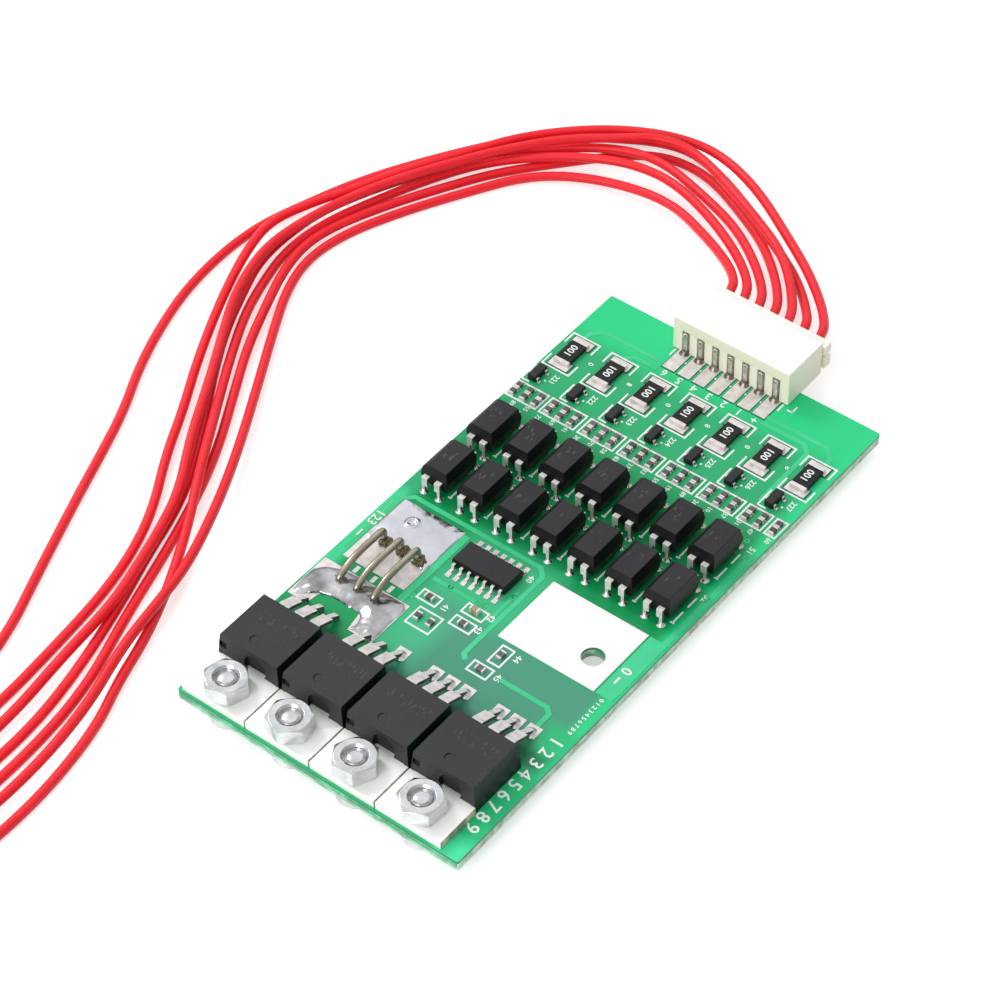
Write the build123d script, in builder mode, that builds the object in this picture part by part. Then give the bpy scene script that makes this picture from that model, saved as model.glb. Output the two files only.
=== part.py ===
from build123d import *
from math import radians, tan

# Battery management board, in millimetres. +Z is up, the long axis lies along Y, and the origin is the
# middle of the box around the board with its header, on the surface that the board rests on.

# Board
BOARD_WIDTH = 45.0
BOARD_LENGTH = 91.0
BOARD_THICKNESS = 1.6
BOARD_CORNER = 0.3
STANDOFF = 2.0
PAD_THICKNESS = 0.1
PRINT_THICKNESS = 0.05
HEADER_OVERHANG = 4.7

# The board's edges, from its middle
LEFT = -BOARD_WIDTH / 2
RIGHT = BOARD_WIDTH / 2
FRONT = -BOARD_LENGTH / 2
BACK = BOARD_LENGTH / 2

# The plane of the board's top, with its own origin in the middle of the board
TOP = Plane((0, -HEADER_OVERHANG / 2, STANDOFF + BOARD_THICKNESS))
UNDER = -BOARD_THICKNESS
FLOOR = UNDER - STANDOFF

# Power transistors, from left to right
BODY_WIDTH = 10.0
BODY_GAP = 0.43
BODY_LENGTH = 9.1
BODY_HEIGHT = 4.5
BODY_TAPER = 5.0
POWER_COUNT = 4
POWER_PITCH = BODY_WIDTH + BODY_GAP
TAB_PROUD = 0.125
TAB_MARGIN = 0.625
TAB_WIDTH = BODY_WIDTH + 2 * TAB_PROUD
TAB_REACH = 6.8
TAB_THICKNESS = 1.3
TAB_FRONT = FRONT + 0.3
SLUG_WALL = 0.6
SLUG_WIDTH = BODY_WIDTH - 2 * SLUG_WALL
BODY_FRONT = TAB_FRONT + TAB_REACH
BODY_BACK = BODY_FRONT + BODY_LENGTH
SLUG_BACK = BODY_BACK - 1.7
POWER_X = [LEFT + TAB_MARGIN + TAB_WIDTH / 2 + POWER_PITCH * i for i in range(POWER_COUNT)]
POWER_LEAD_PITCH = 2.54
POWER_LEAD_THICKNESS = 0.5
POWER_LEAD_WIDE = 1.6
POWER_LEAD_NARROW = 0.8
POWER_LEAD_REACH = 4.9
POWER_LEAD_Y = BODY_BACK + POWER_LEAD_REACH

# Screws and nuts through the tabs
SCREW_RADIUS = 1.5
SCREW_HEAD_RADIUS = 2.8
SCREW_SOCKET_RADIUS = 1.2
SCREW_END = TAB_THICKNESS + 2.0
SCREW_Y = TAB_FRONT + 2.8
NUT_FLATS = 5.5
NUT_HEIGHT = 2.4
NUT_TURNS = (12, 41, 3, 25)

# Terminals of the battery and the load: middle in X and Y, width, length
LOAD_PAD_WIDTH = 15.2
LOAD_PAD_MARGIN = 3.3
LOAD_PAD = (RIGHT - LOAD_PAD_MARGIN - LOAD_PAD_WIDTH / 2, -8.25, LOAD_PAD_WIDTH, 11.7)
LOAD_HOLE = (RIGHT - 6.75, -9.6)
LOAD_HOLE_RADIUS = 1.6
BATTERY_MARGIN = 1.9
BATTERY_WIDTH = 10.2
BATTERY_X = LEFT + BATTERY_MARGIN + BATTERY_WIDTH / 2
BATTERY_PAD = (BATTERY_X, -11.9, BATTERY_WIDTH, 6.8)
BATTERY_SOLDER = (BATTERY_X, -5.5, BATTERY_WIDTH, 6.0)
BATTERY_SOLDER_HEIGHT = 0.5

# Current-sensing wires, eight-sided
SHUNT_X = [BATTERY_X + shift for shift in (-2.4, 0.5, 3.3)]
SHUNT_RADIUS = 0.5
SHUNT_SIDES = 8
SHUNT_BACK = -10.2
SHUNT_FRONT = POWER_LEAD_Y + 4.9
SHUNT_HEIGHT = 2.3
SHUNT_SLOPE = 3.1
SOURCE_SOLDER_HEIGHT = 0.35
SOURCE_RIGHT = POWER_X[1] - POWER_LEAD_PITCH + 0.86

# Protection chip
CHIP_X = -3.8
CHIP_Y = -6.3
CHIP_LENGTH = 8.65
CHIP_WIDTH = 3.9
CHIP_TOP = 1.6
CHIP_GAP = 0.2
CHIP_SPAN = CHIP_WIDTH + 2.1
CHIP_PITCH = 1.27
CHIP_LEGS = 7

# Balance units, one for each cell, spread over the board's width
UNIT_COUNT = 7
UNIT_LEFT = LEFT + 2.712
UNIT_RIGHT = RIGHT - 3.012
UNIT_PITCH = (UNIT_RIGHT - UNIT_LEFT) / (UNIT_COUNT - 1)
UNIT_X = [UNIT_LEFT + UNIT_PITCH * i for i in range(UNIT_COUNT)]
BALANCE_Y = BACK - 12.9
BALANCE_LENGTH = 5.0
BALANCE_WIDTH = 2.5
BALANCE_HEIGHT = 0.55
BALANCE_END = 0.6
BALANCE_PAD = (3.2, 1.6)
SMALL_TRANSISTOR_SHIFT = -1.27
SMALL_TRANSISTOR_Y = BACK - 18.95
SMALL_TRANSISTOR_SIZE = (1.3, 2.9, 0.95)
SMALL_TRANSISTOR_REACH = 1.25

# Small chip resistors and capacitors: the middle of each, along Y or along X
CHIP_PART = (0.8, 1.35, 0.45)
CHIP_PART_END = 0.27
CHIP_ROW_Y = BACK - 22.8
CHIP_ROWS = (CHIP_ROW_Y + 0.7, CHIP_ROW_Y - 0.72)
OUTER_GROUP_X = LEFT + 2.75
OUTER_COLUMNS = (-1.9, 0, 1.9)
INNER_GROUP_X = [x - 0.41 for x in UNIT_X[1:-1]]
INNER_COLUMNS = (-1.95, 0, 1.95)
LAST_PAIR_X = RIGHT - 4.5
LAST_SINGLE_X = RIGHT - 1.15
LAST_COLUMNS = (LAST_PAIR_X - 1.0, LAST_PAIR_X + 1.0, LAST_SINGLE_X)
RESISTORS_ALONG_Y = (
    [(OUTER_GROUP_X + c, y) for y in CHIP_ROWS for c in OUTER_COLUMNS]
    + [(x + c, y) for y in CHIP_ROWS for x in INNER_GROUP_X for c in INNER_COLUMNS]
    + [(x, y) for y in CHIP_ROWS for x in LAST_COLUMNS]
    + [(SOURCE_RIGHT + 1.9, -17.75), (SOURCE_RIGHT + 3.9, -17.75), (6.45, -16.55)]
)
RESISTORS_ALONG_X = [(SOURCE_RIGHT + 1.05, -14.3), (-0.75, -15.3), (5.75, -19.95)]
CAPACITOR = (-0.75, -12.75)

# Optocouplers, two rows of seven
OPTO_COUNT = 7
OPTO_LEFT = LEFT + 4.25
OPTO_RIGHT = RIGHT - 4.51
OPTO_PITCH = (OPTO_RIGHT - OPTO_LEFT) / (OPTO_COUNT - 1)
OPTO_X = [OPTO_LEFT + OPTO_PITCH * i for i in range(OPTO_COUNT)]
OPTO_ROWS = {"far": 13.5, "near": 3.9}
OPTO_WIDTH = 4.4
OPTO_LENGTH = 6.5
OPTO_BOTTOM = 0.8
OPTO_SEAM = 2.4
OPTO_SEAM_HEIGHT = 0.3
OPTO_TOP = 4.3
OPTO_TAPER = 11.0
OPTO_CHAMFER = 0.6
OPTO_LEG_X = 1.27
OPTO_LEG_Y = OPTO_LENGTH / 2 + 0.56
OPTO_LEG_WIDE = 0.95
OPTO_LEG_NARROW = 0.5
OPTO_SHOULDER_X = OPTO_LEG_X + (OPTO_LEG_NARROW - OPTO_LEG_WIDE) / 2
OPTO_LEG_THICKNESS = 0.3

# Connector: header, pins, plug and contacts
WAYS = 7
WAY_PITCH = 2.5
WAY_X = [WAY_PITCH * (i - (WAYS - 1) / 2) for i in range(WAYS)]
PIN = 0.64
PIN_Y = BACK - 3.0
PIN_TIP = BACK + 2.5
CONTACT_Z = 3.15
HEADER_HALF = WAY_X[-1] + 2.1
HEADER_BACK = PIN_Y - 0.2
HEADER_FRONT = BACK + HEADER_OVERHANG
HEADER_WALL = 1.7
CAVITY_HALF = HEADER_HALF - 0.9
CAVITY_BACK = HEADER_BACK + HEADER_WALL
CAVITY_FLOOR = 0.95
PIN_SLOT_WIDTH = 1.2
PIN_SLOT_DEPTH = 0.8
PIN_SLOT_TOP = 3.9
PLUG_GAP = 0.1
PLUG_HALF = CAVITY_HALF - 0.15
PLUG_BACK = CAVITY_BACK + 0.2
PLUG_FRONT = PLUG_BACK + 7.7
PLUG_TOP = 4.9
CAVITY_TOP = PLUG_TOP + PLUG_GAP
HEADER_TOP = CAVITY_TOP + 0.8
EAR_HALF = HEADER_HALF + 0.3
EAR_BACK = HEADER_FRONT + 0.2
EAR_NOTCH = (2.7, 3.4)
EAR_NOTCH_DEPTH = 0.6
CHANNEL_WIDTH = 2.0
CHANNEL_HEIGHT = 1.9
CONTACT_SIZE = 1.5
CONTACT_BACK = PLUG_BACK + 0.6
CONTACT_FRONT = CONTACT_BACK + 3.8
CONNECTOR_PAD = (2.0, 4.9, PIN_Y - 1.75)

# Solder joints under the board
JOINT_HEIGHT = 1.4
JOINT_TAPER = 16.0
JOINT_SIDES = 6
SMALL_JOINT_SIDES = 4

# Cell leads. Each route starts in its contact; a point is X and Y from the middle of the board and the
# height of the lead's middle above the floor.
LEAD_RADIUS = 0.7
LEAD_ROUTES = [
    [(-7.5, 48.6, 6.75), (-7.5, 53.5, 6.75), (-11, 58.5, 5.1), (-19, 63.5, 3.5), (-29, 68, 2.1),
     (-40.5, 66.5, 1.2), (-49, 61.5, 0.9), (-54.5, 52.5, 0.7), (-59, 44, 0.7), (-62.5, 35.5, 0.7),
     (-63.5, 28, 0.7), (-61.5, 21, 0.8), (-57.5, 13.5, 0.9), (-51.5, 3, 1.2), (-45, -8.5, 1.8),
     (-40, -18.5, 2.5), (-36, -28.5, 2.9), (-34.5, -36.5, 3), (-33.5, -44, 2.4), (-30.5, -54, 1.9),
     (-29, -66, 1.6), (-29.5, -80, 1.2), (-31.5, -96, 1), (-32.5, -112, 0.7)],
    [(-5, 48.6, 6.75), (-5, 53.5, 6.75), (-9.5, 59.5, 5.3), (-19, 66, 4.1), (-29.5, 70.5, 3.3),
     (-37, 70.5, 3), (-43.5, 68, 2.7), (-49.5, 64, 2.4), (-56, 58.5, 1.5), (-60.5, 50.5, 1.2),
     (-64, 42, 0.9), (-66.5, 34.5, 0.8), (-67, 27, 0.7), (-65, 19.5, 0.8), (-62.5, 13, 1.1),
     (-57.5, 4, 1.7), (-52, -5, 2.3), (-46, -15, 2.5), (-41, -23, 2), (-36.5, -31.5, 1.6),
     (-33, -40, 1.2), (-31, -47.5, 0.8), (-28, -55, 0.7), (-26, -67, 0.7), (-26, -79, 0.8),
     (-27, -90, 0.8), (-28, -100, 0.7)],
    [(-2.5, 48.6, 6.75), (-2.5, 53.5, 6.75), (-7, 59.5, 5.5), (-15.5, 66.5, 4.2), (-24, 70.5, 3.2),
     (-35, 74, 2.7), (-42.5, 72, 2.4), (-51, 66, 1.8), (-57, 59.5, 1.4), (-61.5, 52, 1.3),
     (-65.5, 44, 1.2), (-68, 36.5, 1.3), (-68.5, 29.5, 1.5), (-68, 22.5, 1.5), (-65.5, 16, 1.4),
     (-62.5, 9, 1.3), (-58.5, 2, 0.9), (-53.5, -5.5, 0.9), (-48, -14.5, 0.8), (-45, -21.5, 0.7),
     (-43, -28.5, 0.7), (-40, -37, 0.7), (-36.5, -49, 0.7), (-34.5, -60, 0.7), (-34.5, -72, 0.7),
     (-36.5, -86, 0.7), (-38, -98, 0.7)],
    [(0, 48.6, 6.75), (0, 53.5, 6.75), (-4.5, 60, 5), (-11.5, 67, 3.3), (-18, 71.5, 2),
     (-27.5, 76.5, 1.2), (-35, 77, 0.8), (-40.5, 74, 0.7), (-48.5, 65, 0.7), (-53.5, 58.5, 0.9),
     (-57.5, 51, 1.1), (-61, 43.5, 1.4), (-64, 35.5, 1.6), (-65, 29.5, 1.7), (-64, 23.5, 1.6),
     (-61.5, 17, 1.5), (-58, 8.5, 1.1), (-53.5, 0.5, 0.9), (-49, -7.5, 0.8), (-46, -14, 0.7),
     (-43.5, -20.5, 0.7), (-41, -28, 0.7), (-38, -38, 0.7), (-33.5, -51, 0.7), (-32, -63, 0.7),
     (-32, -75, 0.7), (-34, -88, 0.7), (-35, -99, 0.7)],
    [(2.5, 48.6, 6.75), (2.5, 53.5, 6.75), (-2.5, 60.5, 5.6), (-8, 66, 4.9), (-15, 70, 4.5),
     (-21, 73, 4.2), (-30, 77, 4), (-36.5, 77, 4), (-41.5, 73, 4), (-48.5, 67.5, 3.9),
     (-54, 60.5, 3.7), (-59, 52.5, 3.5), (-63.5, 44, 3.4), (-66.5, 35, 3.3), (-68, 26, 3.2),
     (-67, 19.5, 3), (-64.5, 13, 3), (-60.5, 6, 2.9), (-56, -2, 2.7), (-51.5, -10.5, 2.6),
     (-46, -19, 2.5), (-43.5, -25.5, 2.4), (-41.5, -32, 2.4), (-39.5, -39.5, 2.3), (-39, -49, 1.6),
     (-37.5, -60, 1.4), (-37.5, -72, 1.1), (-39.5, -83, 0.9), (-41, -92, 0.7)],
    [(5, 48.6, 6.75), (5, 53.5, 6.75), (1, 59, 4.9), (-5, 65, 3.2), (-13.5, 70.5, 2),
     (-23.5, 76.5, 1.2), (-32.5, 80, 0.8), (-38.5, 79, 0.7), (-44.5, 75.5, 0.7), (-50.5, 71.5, 0.7),
     (-55.5, 67, 0.7), (-60.5, 59.5, 0.7), (-65.5, 51, 0.7), (-69, 43.5, 0.7), (-71.5, 36, 0.7),
     (-73.5, 29.5, 0.7), (-74, 21.5, 0.7), (-73, 12.5, 0.7), (-70.5, 4, 0.7), (-67.5, -3.5, 0.7),
     (-63.5, -11, 0.7), (-60.5, -18.5, 0.7), (-57.5, -26.5, 0.7), (-52.5, -39, 0.7),
     (-47.5, -51, 0.7), (-45, -64, 0.7), (-45.5, -76, 0.7)],
    [(7.5, 48.6, 6.75), (7.5, 53.5, 6.75), (4.5, 58.5, 5.4), (-2, 64.5, 4.8), (-9, 69.5, 4.2),
     (-19.5, 76.5, 3.5), (-29, 80, 3.1), (-36.5, 79, 3), (-43, 75.5, 3.2), (-49, 70.5, 3.3),
     (-54.5, 64, 3.3), (-58.5, 56.5, 3.2), (-63, 49, 3), (-66.5, 41, 2.9), (-69.5, 35, 2.8),
     (-71.5, 29, 2.6), (-70.5, 23, 2.1), (-68, 16, 1.8), (-65, 9, 1.4), (-61, 1, 1.2),
     (-57, -6, 1), (-53, -14, 0.9), (-48, -22, 0.8), (-45, -29, 0.7), (-42.8, -37.5, 0.7),
     (-41.5, -48.5, 0.7), (-40.5, -60, 0.7), (-41, -70, 0.7), (-43, -80, 0.7), (-45, -88, 0.7)],
]


def save(piece, name):
    """Label a finished piece and write it."""
    piece.part.label = name
    export_step(piece.part, f"parts/{name}.step")


def side_plane(x):
    """The upright plane at x: its own X runs along the board, its own Y runs up from the board's top."""
    return Plane(TOP.origin + Vector(x, 0, 0), x_dir=(0, 1, 0), z_dir=(1, 0, 0))


def strip_outline(points, thickness):
    """The corners of a strip of even thickness along a bent middle line, with mitred bends."""
    line = [Vector(u, v) for u, v in points]
    headings = [(after - before).normalized() for before, after in zip(line, line[1:])]
    left = []
    right = []
    for i, point in enumerate(line):
        before = headings[max(i - 1, 0)]
        after = headings[min(i, len(headings) - 1)]
        middle = (before + after).normalized()
        across = Vector(-middle.Y, middle.X)
        reach = thickness / 2 / middle.dot(after)
        left.append(point + across * reach)
        right.append(point - across * reach)
    return left + right[::-1]


def bent_strips(places, points, thickness, width):
    """Add one bent metal strip at each X, centred on it."""
    with BuildSketch(*[side_plane(x) for x in places]) as profile:
        with BuildLine():
            Polyline(*strip_outline(points, thickness), close=True)
        make_face()
    extrude(profile.sketch, amount=width / 2, both=True)


def mirrored(points):
    """The same middle line on the other side of a part."""
    return [(-u, v) for u, v in points]


def shifted(points, y):
    """The same middle line, moved along the board."""
    return [(u + y, v) for u, v in points]


def cut_corners(points, cut):
    """The same line with each inner corner replaced by a short straight run."""
    line = [Vector(u, v) for u, v in points]
    eased = [line[0]]
    for before, corner, after in zip(line, line[1:], line[2:]):
        eased.append(corner + (before - corner).normalized() * cut)
        eased.append(corner + (after - corner).normalized() * cut)
    return [(point.X, point.Y) for point in eased + [line[-1]]]


def boxes(places, width, length, bottom, top, mode=Mode.ADD):
    """Add or cut one upright box at each place on the board."""
    with BuildSketch(TOP.offset(bottom)) as outline:
        with Locations(*places):
            Rectangle(width, length)
    extrude(outline.sketch, amount=top - bottom, mode=mode)


def rounds(places, radius, bottom, top, mode=Mode.ADD):
    """Add or cut one upright cylinder at each place on the board."""
    with BuildSketch(TOP.offset(bottom)) as outline:
        with Locations(*places):
            Circle(radius)
    extrude(outline.sketch, amount=top - bottom, mode=mode)


# Places that several pieces share
screw_places = [(x, SCREW_Y) for x in POWER_X]
power_lead_x = [x + POWER_LEAD_PITCH * k for x in POWER_X for k in (-1, 0, 1)]
power_lead_places = [(x, POWER_LEAD_Y) for x in power_lead_x]
opto_leg_x = [x + OPTO_LEG_X * side for x in OPTO_X for side in (-1, 1)]
opto_leg_places = [(x, y + OPTO_LEG_Y * side)
                   for y in OPTO_ROWS.values() for x in opto_leg_x for side in (-1, 1)]
pin_places = [(x, PIN_Y) for x in WAY_X]
shunt_places = [(x, y) for x in SHUNT_X for y in (SHUNT_BACK, SHUNT_FRONT)]
chip_leg_x = [CHIP_X + CHIP_PITCH * (i - (CHIP_LEGS - 1) / 2) for i in range(CHIP_LEGS)]

# Printed circuit board
with BuildPart() as circuit_board:
    with BuildSketch(TOP.offset(UNDER)):
        RectangleRounded(BOARD_WIDTH, BOARD_LENGTH, BOARD_CORNER)
        with Locations(*screw_places):
            Circle(SCREW_RADIUS, mode=Mode.SUBTRACT)
        with Locations(LOAD_HOLE):
            Circle(LOAD_HOLE_RADIUS, mode=Mode.SUBTRACT)
        with Locations(*shunt_places):
            RegularPolygon(SHUNT_RADIUS, SHUNT_SIDES, mode=Mode.SUBTRACT)
        with Locations(*power_lead_places):
            Rectangle(POWER_LEAD_NARROW, POWER_LEAD_THICKNESS, mode=Mode.SUBTRACT)
        with Locations(*opto_leg_places):
            Rectangle(OPTO_LEG_NARROW, OPTO_LEG_THICKNESS, mode=Mode.SUBTRACT)
        with Locations(*pin_places):
            Rectangle(PIN, PIN, mode=Mode.SUBTRACT)
    extrude(amount=BOARD_THICKNESS)
save(circuit_board, "circuit_board")

# White marks: brackets and angles around the parts, ticks beside the optocouplers, outlines of the
# small parts
LINE = 0.25
BRACKET_HALF = 2.25
BRACKET_OUTER = 3.65
BRACKET_INNER = 1.6
ANGLE_REACH = (-1.7, 1.6)
OUTLINE_REACH = (-1.75, 1.7)
OUTER_OUTLINE_HALF = 2.65
INNER_OUTLINE_HALF = 3.05
PAIR_OUTLINE = 4.0
SINGLE_OUTLINE = 1.9
CORNER_MARK_X = HEADER_HALF - 0.6
CORNER_MARK_Y = BACK - 4.05
TICK_X = 2.3
OUTLINES = [(SOURCE_RIGHT + 1.05, -14.3, 3.2, 1.95), (SOURCE_RIGHT + 2.9, -17.75, 4.0, 3.4),
            (-0.75, -12.75, 3.5, 1.95),
            (-0.75, -15.3, 3.5, 1.95), (6.45, -16.55, 2.1, 3.5), (5.75, -19.95, 3.3, 2.1)]
SHUNT_MARK = (0.6, 1.2, -16.2)

# Small tinned pads: width, length, and where that is the same for all, the middle in Y
CHIP_PAD = (0.7, 1.6)
POWER_PAD = (1.95, 2.0, POWER_LEAD_Y + 0.5)
SOURCE_COVERED = 5
chip_pad_places = [(x, CHIP_Y + side * CHIP_SPAN / 2) for x in chip_leg_x for side in (-1, 1)]
balance_pad_places = [(x, BALANCE_Y + side * BALANCE_LENGTH / 2) for x in UNIT_X for side in (-1, 1)]
connector_pad_places = [(x, CONNECTOR_PAD[2]) for x in WAY_X]
power_pad_places = [(x, POWER_PAD[2]) for x in power_lead_x[SOURCE_COVERED:]]

# Outline of the solder that joins the sensing wires to the first transistors
source_left = LEFT + 0.3
source_back = SHUNT_FRONT + 2.5
source_step = POWER_LEAD_Y + 3.1
source_front = POWER_LEAD_Y - 0.5
SOURCE_OUTLINE = [(source_left, source_back), (SOURCE_RIGHT, source_back), (SOURCE_RIGHT, source_front),
                  (SOURCE_RIGHT - 3.9, source_front), (SOURCE_RIGHT - 4.5, source_step),
                  (power_lead_x[0] + 0.79, source_step), (power_lead_x[0] + 0.29, source_front + 0.3),
                  (source_left, source_front + 0.3)]


def bar(x, y, width, length):
    """One printed or copper bar, centred at x and y."""
    with Locations((x, y)):
        Rectangle(width, length)


def frame_mark(x, y, width, length):
    """A printed outline of one line's width."""
    for side in (-1, 1):
        bar(x + side * (width - LINE) / 2, y, LINE, length)
        bar(x, y + side * (length - LINE) / 2, width, LINE)


def clear_of_metal():
    """Cut every pad, solder field and small part's place out of the sketch in hand."""
    for x, y, width, length in (LOAD_PAD, BATTERY_PAD, BATTERY_SOLDER):
        with Locations((x, y)):
            Rectangle(width, length, mode=Mode.SUBTRACT)
    for places, width, length in (
        (chip_pad_places, CHIP_PAD[0], CHIP_PAD[1]),
        (balance_pad_places, BALANCE_PAD[0], BALANCE_PAD[1]),
        (connector_pad_places, CONNECTOR_PAD[0], CONNECTOR_PAD[1]),
        (power_pad_places, POWER_PAD[0], POWER_PAD[1]),
        (RESISTORS_ALONG_Y, CHIP_PART[0], CHIP_PART[1]),
        (RESISTORS_ALONG_X + [CAPACITOR], CHIP_PART[1], CHIP_PART[0]),
    ):
        with Locations(*places):
            Rectangle(width, length, mode=Mode.SUBTRACT)
    Polygon(*SOURCE_OUTLINE, align=None, mode=Mode.SUBTRACT)


with BuildPart() as silkscreen_marks:
    with BuildSketch(TOP) as marks:
        for x in UNIT_X:
            for end in (-1, 1):
                bar(x, BALANCE_Y + end * BRACKET_OUTER, 2 * BRACKET_HALF + LINE, LINE)
                for side in (-1, 1):
                    bar(x + side * BRACKET_HALF, BALANCE_Y + end * (BRACKET_OUTER + BRACKET_INNER) / 2,
                        LINE, BRACKET_OUTER - BRACKET_INNER + LINE)
            corner_x = x + SMALL_TRANSISTOR_SHIFT
            low = SMALL_TRANSISTOR_Y + ANGLE_REACH[0]
            high = SMALL_TRANSISTOR_Y + ANGLE_REACH[1]
            bar(corner_x - 1.35, (low + high) / 2, LINE, high - low)
            bar(corner_x - 0.7, low, 1.3, LINE)
        for x in OPTO_X:
            for y in OPTO_ROWS.values():
                bar(x + TICK_X, y - 1.55, LINE, 2.3)
                bar(x + TICK_X, y + 1.6, LINE, 2.0)
        outline_middle = CHIP_ROW_Y + sum(OUTLINE_REACH) / 2
        outline_length = OUTLINE_REACH[1] - OUTLINE_REACH[0]
        frame_mark(OUTER_GROUP_X, outline_middle, 2 * OUTER_OUTLINE_HALF, outline_length)
        for x in INNER_GROUP_X:
            frame_mark(x, outline_middle, 2 * INNER_OUTLINE_HALF, outline_length)
        frame_mark(LAST_PAIR_X, outline_middle, PAIR_OUTLINE, outline_length)
        frame_mark(LAST_SINGLE_X, outline_middle, SINGLE_OUTLINE, outline_length)
        for x, y, width, length in OUTLINES:
            frame_mark(x, y, width, length)
        for side in (-1, 1):
            bar(side * CORNER_MARK_X, CORNER_MARK_Y, LINE, 1.5)
        for x in SHUNT_X:
            bar(x + 0.3, SHUNT_MARK[2], SHUNT_MARK[0], SHUNT_MARK[1])
        clear_of_metal()
    extrude(amount=PRINT_THICKNESS)
save(silkscreen_marks, "silkscreen_marks")

# Copper tracks that show through the green lacquer
TRACK = 0.7
load_left = LOAD_PAD[0] - LOAD_PAD[2] / 2
header_track = HEADER_HALF - 1.0
TRACK_PATHS = [
    [(LEFT + 1.4, -14.0), (LEFT + 1.4, -2.9), (LEFT + 2.8, -1.5), (load_left - 2.8, -1.5),
     (load_left - 1.6, -2.7), (load_left - 1.6, -19.0), (load_left - 0.8, -19.75)],
    [(8.7, POWER_LEAD_Y + 4.7), (power_lead_x[-1] - 0.9, POWER_LEAD_Y + 4.7),
     (power_lead_x[-1], POWER_LEAD_Y + 3.9), (power_lead_x[-1], POWER_LEAD_Y + 1.5)],
    [(-header_track, BACK - 6.6), (LEFT + 3.9, BACK - 6.6), (LEFT + 2.3, BACK - 8.2), (LEFT + 2.3, BACK - 9.5)],
    [(-header_track, BACK - 8.1), (LEFT + 10.1, BACK - 8.1), (LEFT + 9.2, BACK - 8.9), (LEFT + 9.2, BACK - 9.5)],
    [(header_track, BACK - 6.6), (RIGHT - 4.1, BACK - 6.6), (RIGHT - 2.6, BACK - 8.1), (RIGHT - 2.6, BACK - 9.5)],
    [(header_track, BACK - 7.9), (RIGHT - 6.9, BACK - 7.9), (RIGHT - 5.7, BACK - 9.1), (RIGHT - 5.7, BACK - 20.0)],
]
TRACK_BARS = [(BATTERY_X + 5.7, -9.9, 1.0, 14.0), (-5.3, -11.3, 7.0, 0.7), (load_left - 2.5, -9.2, 0.5, 5.2),
              (RIGHT - 1.75, LOAD_PAD[1], 2.6, LOAD_PAD[3]), (RIGHT - 0.8, 2.0, 0.9, 30.0)]

with BuildPart() as copper_tracks:
    with BuildSketch(TOP):
        for path in TRACK_PATHS:
            with BuildLine():
                Polyline(*strip_outline(path, TRACK), close=True)
            make_face()
        for x, y, width, length in TRACK_BARS:
            bar(x, y, width, length)
        with Locations(*opto_leg_places):
            Circle(0.95, mode=Mode.SUBTRACT)
        clear_of_metal()
        add(marks.sketch_local, mode=Mode.SUBTRACT)
    extrude(amount=PRINT_THICKNESS)
save(copper_tracks, "copper_tracks")

# Tinned pads that carry the current
with BuildPart() as load_terminal_pad:
    with BuildSketch(TOP):
        bar(*LOAD_PAD)
        with Locations(LOAD_HOLE):
            Circle(LOAD_HOLE_RADIUS, mode=Mode.SUBTRACT)
    extrude(amount=PAD_THICKNESS)
save(load_terminal_pad, "load_terminal_pad")

with BuildPart() as battery_terminal_pad:
    boxes([BATTERY_PAD[:2]], BATTERY_PAD[2], BATTERY_PAD[3], 0, PAD_THICKNESS)
    with BuildSketch(TOP):
        with Locations(*[(x, SHUNT_BACK) for x in SHUNT_X]):
            RegularPolygon(SHUNT_RADIUS, SHUNT_SIDES)
    extrude(amount=PAD_THICKNESS, mode=Mode.SUBTRACT)
save(battery_terminal_pad, "battery_terminal_pad")

with BuildPart() as battery_terminal_solder:
    boxes([BATTERY_SOLDER[:2]], BATTERY_SOLDER[2], BATTERY_SOLDER[3], 0, BATTERY_SOLDER_HEIGHT)
    chamfer(battery_terminal_solder.faces().sort_by(Axis.Z)[-1].edges(), BATTERY_SOLDER_HEIGHT * 0.7)
save(battery_terminal_solder, "battery_terminal_solder")

# Solder that joins the sensing wires to the first transistors
with BuildPart() as source_solder:
    with BuildSketch(TOP):
        with BuildLine():
            Polyline(*SOURCE_OUTLINE, close=True)
        make_face()
        with Locations(*[(x, SHUNT_FRONT) for x in SHUNT_X]):
            RegularPolygon(SHUNT_RADIUS, SHUNT_SIDES, mode=Mode.SUBTRACT)
        with Locations(*power_lead_places):
            Rectangle(POWER_LEAD_NARROW, POWER_LEAD_THICKNESS, mode=Mode.SUBTRACT)
    extrude(amount=SOURCE_SOLDER_HEIGHT)
save(source_solder, "source_solder")

# Small tinned pads
with BuildPart() as power_lead_pads:
    with BuildSketch(TOP):
        with Locations(*power_pad_places):
            Rectangle(POWER_PAD[0], POWER_PAD[1])
        with Locations(*power_lead_places):
            Rectangle(POWER_LEAD_NARROW, POWER_LEAD_THICKNESS, mode=Mode.SUBTRACT)
    extrude(amount=PAD_THICKNESS)
save(power_lead_pads, "power_lead_pads")

with BuildPart() as chip_pads:
    boxes(chip_pad_places, CHIP_PAD[0], CHIP_PAD[1], 0, PAD_THICKNESS)
save(chip_pads, "chip_pads")

with BuildPart() as balance_pads:
    boxes(balance_pad_places, BALANCE_PAD[0], BALANCE_PAD[1], 0, PAD_THICKNESS)
save(balance_pads, "balance_pads")

with BuildPart() as connector_pads:
    with BuildSketch(TOP):
        with Locations(*connector_pad_places):
            Rectangle(CONNECTOR_PAD[0], CONNECTOR_PAD[1])
        with Locations(*pin_places):
            Rectangle(PIN, PIN, mode=Mode.SUBTRACT)
    extrude(amount=PAD_THICKNESS)
save(connector_pads, "connector_pads")

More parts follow.
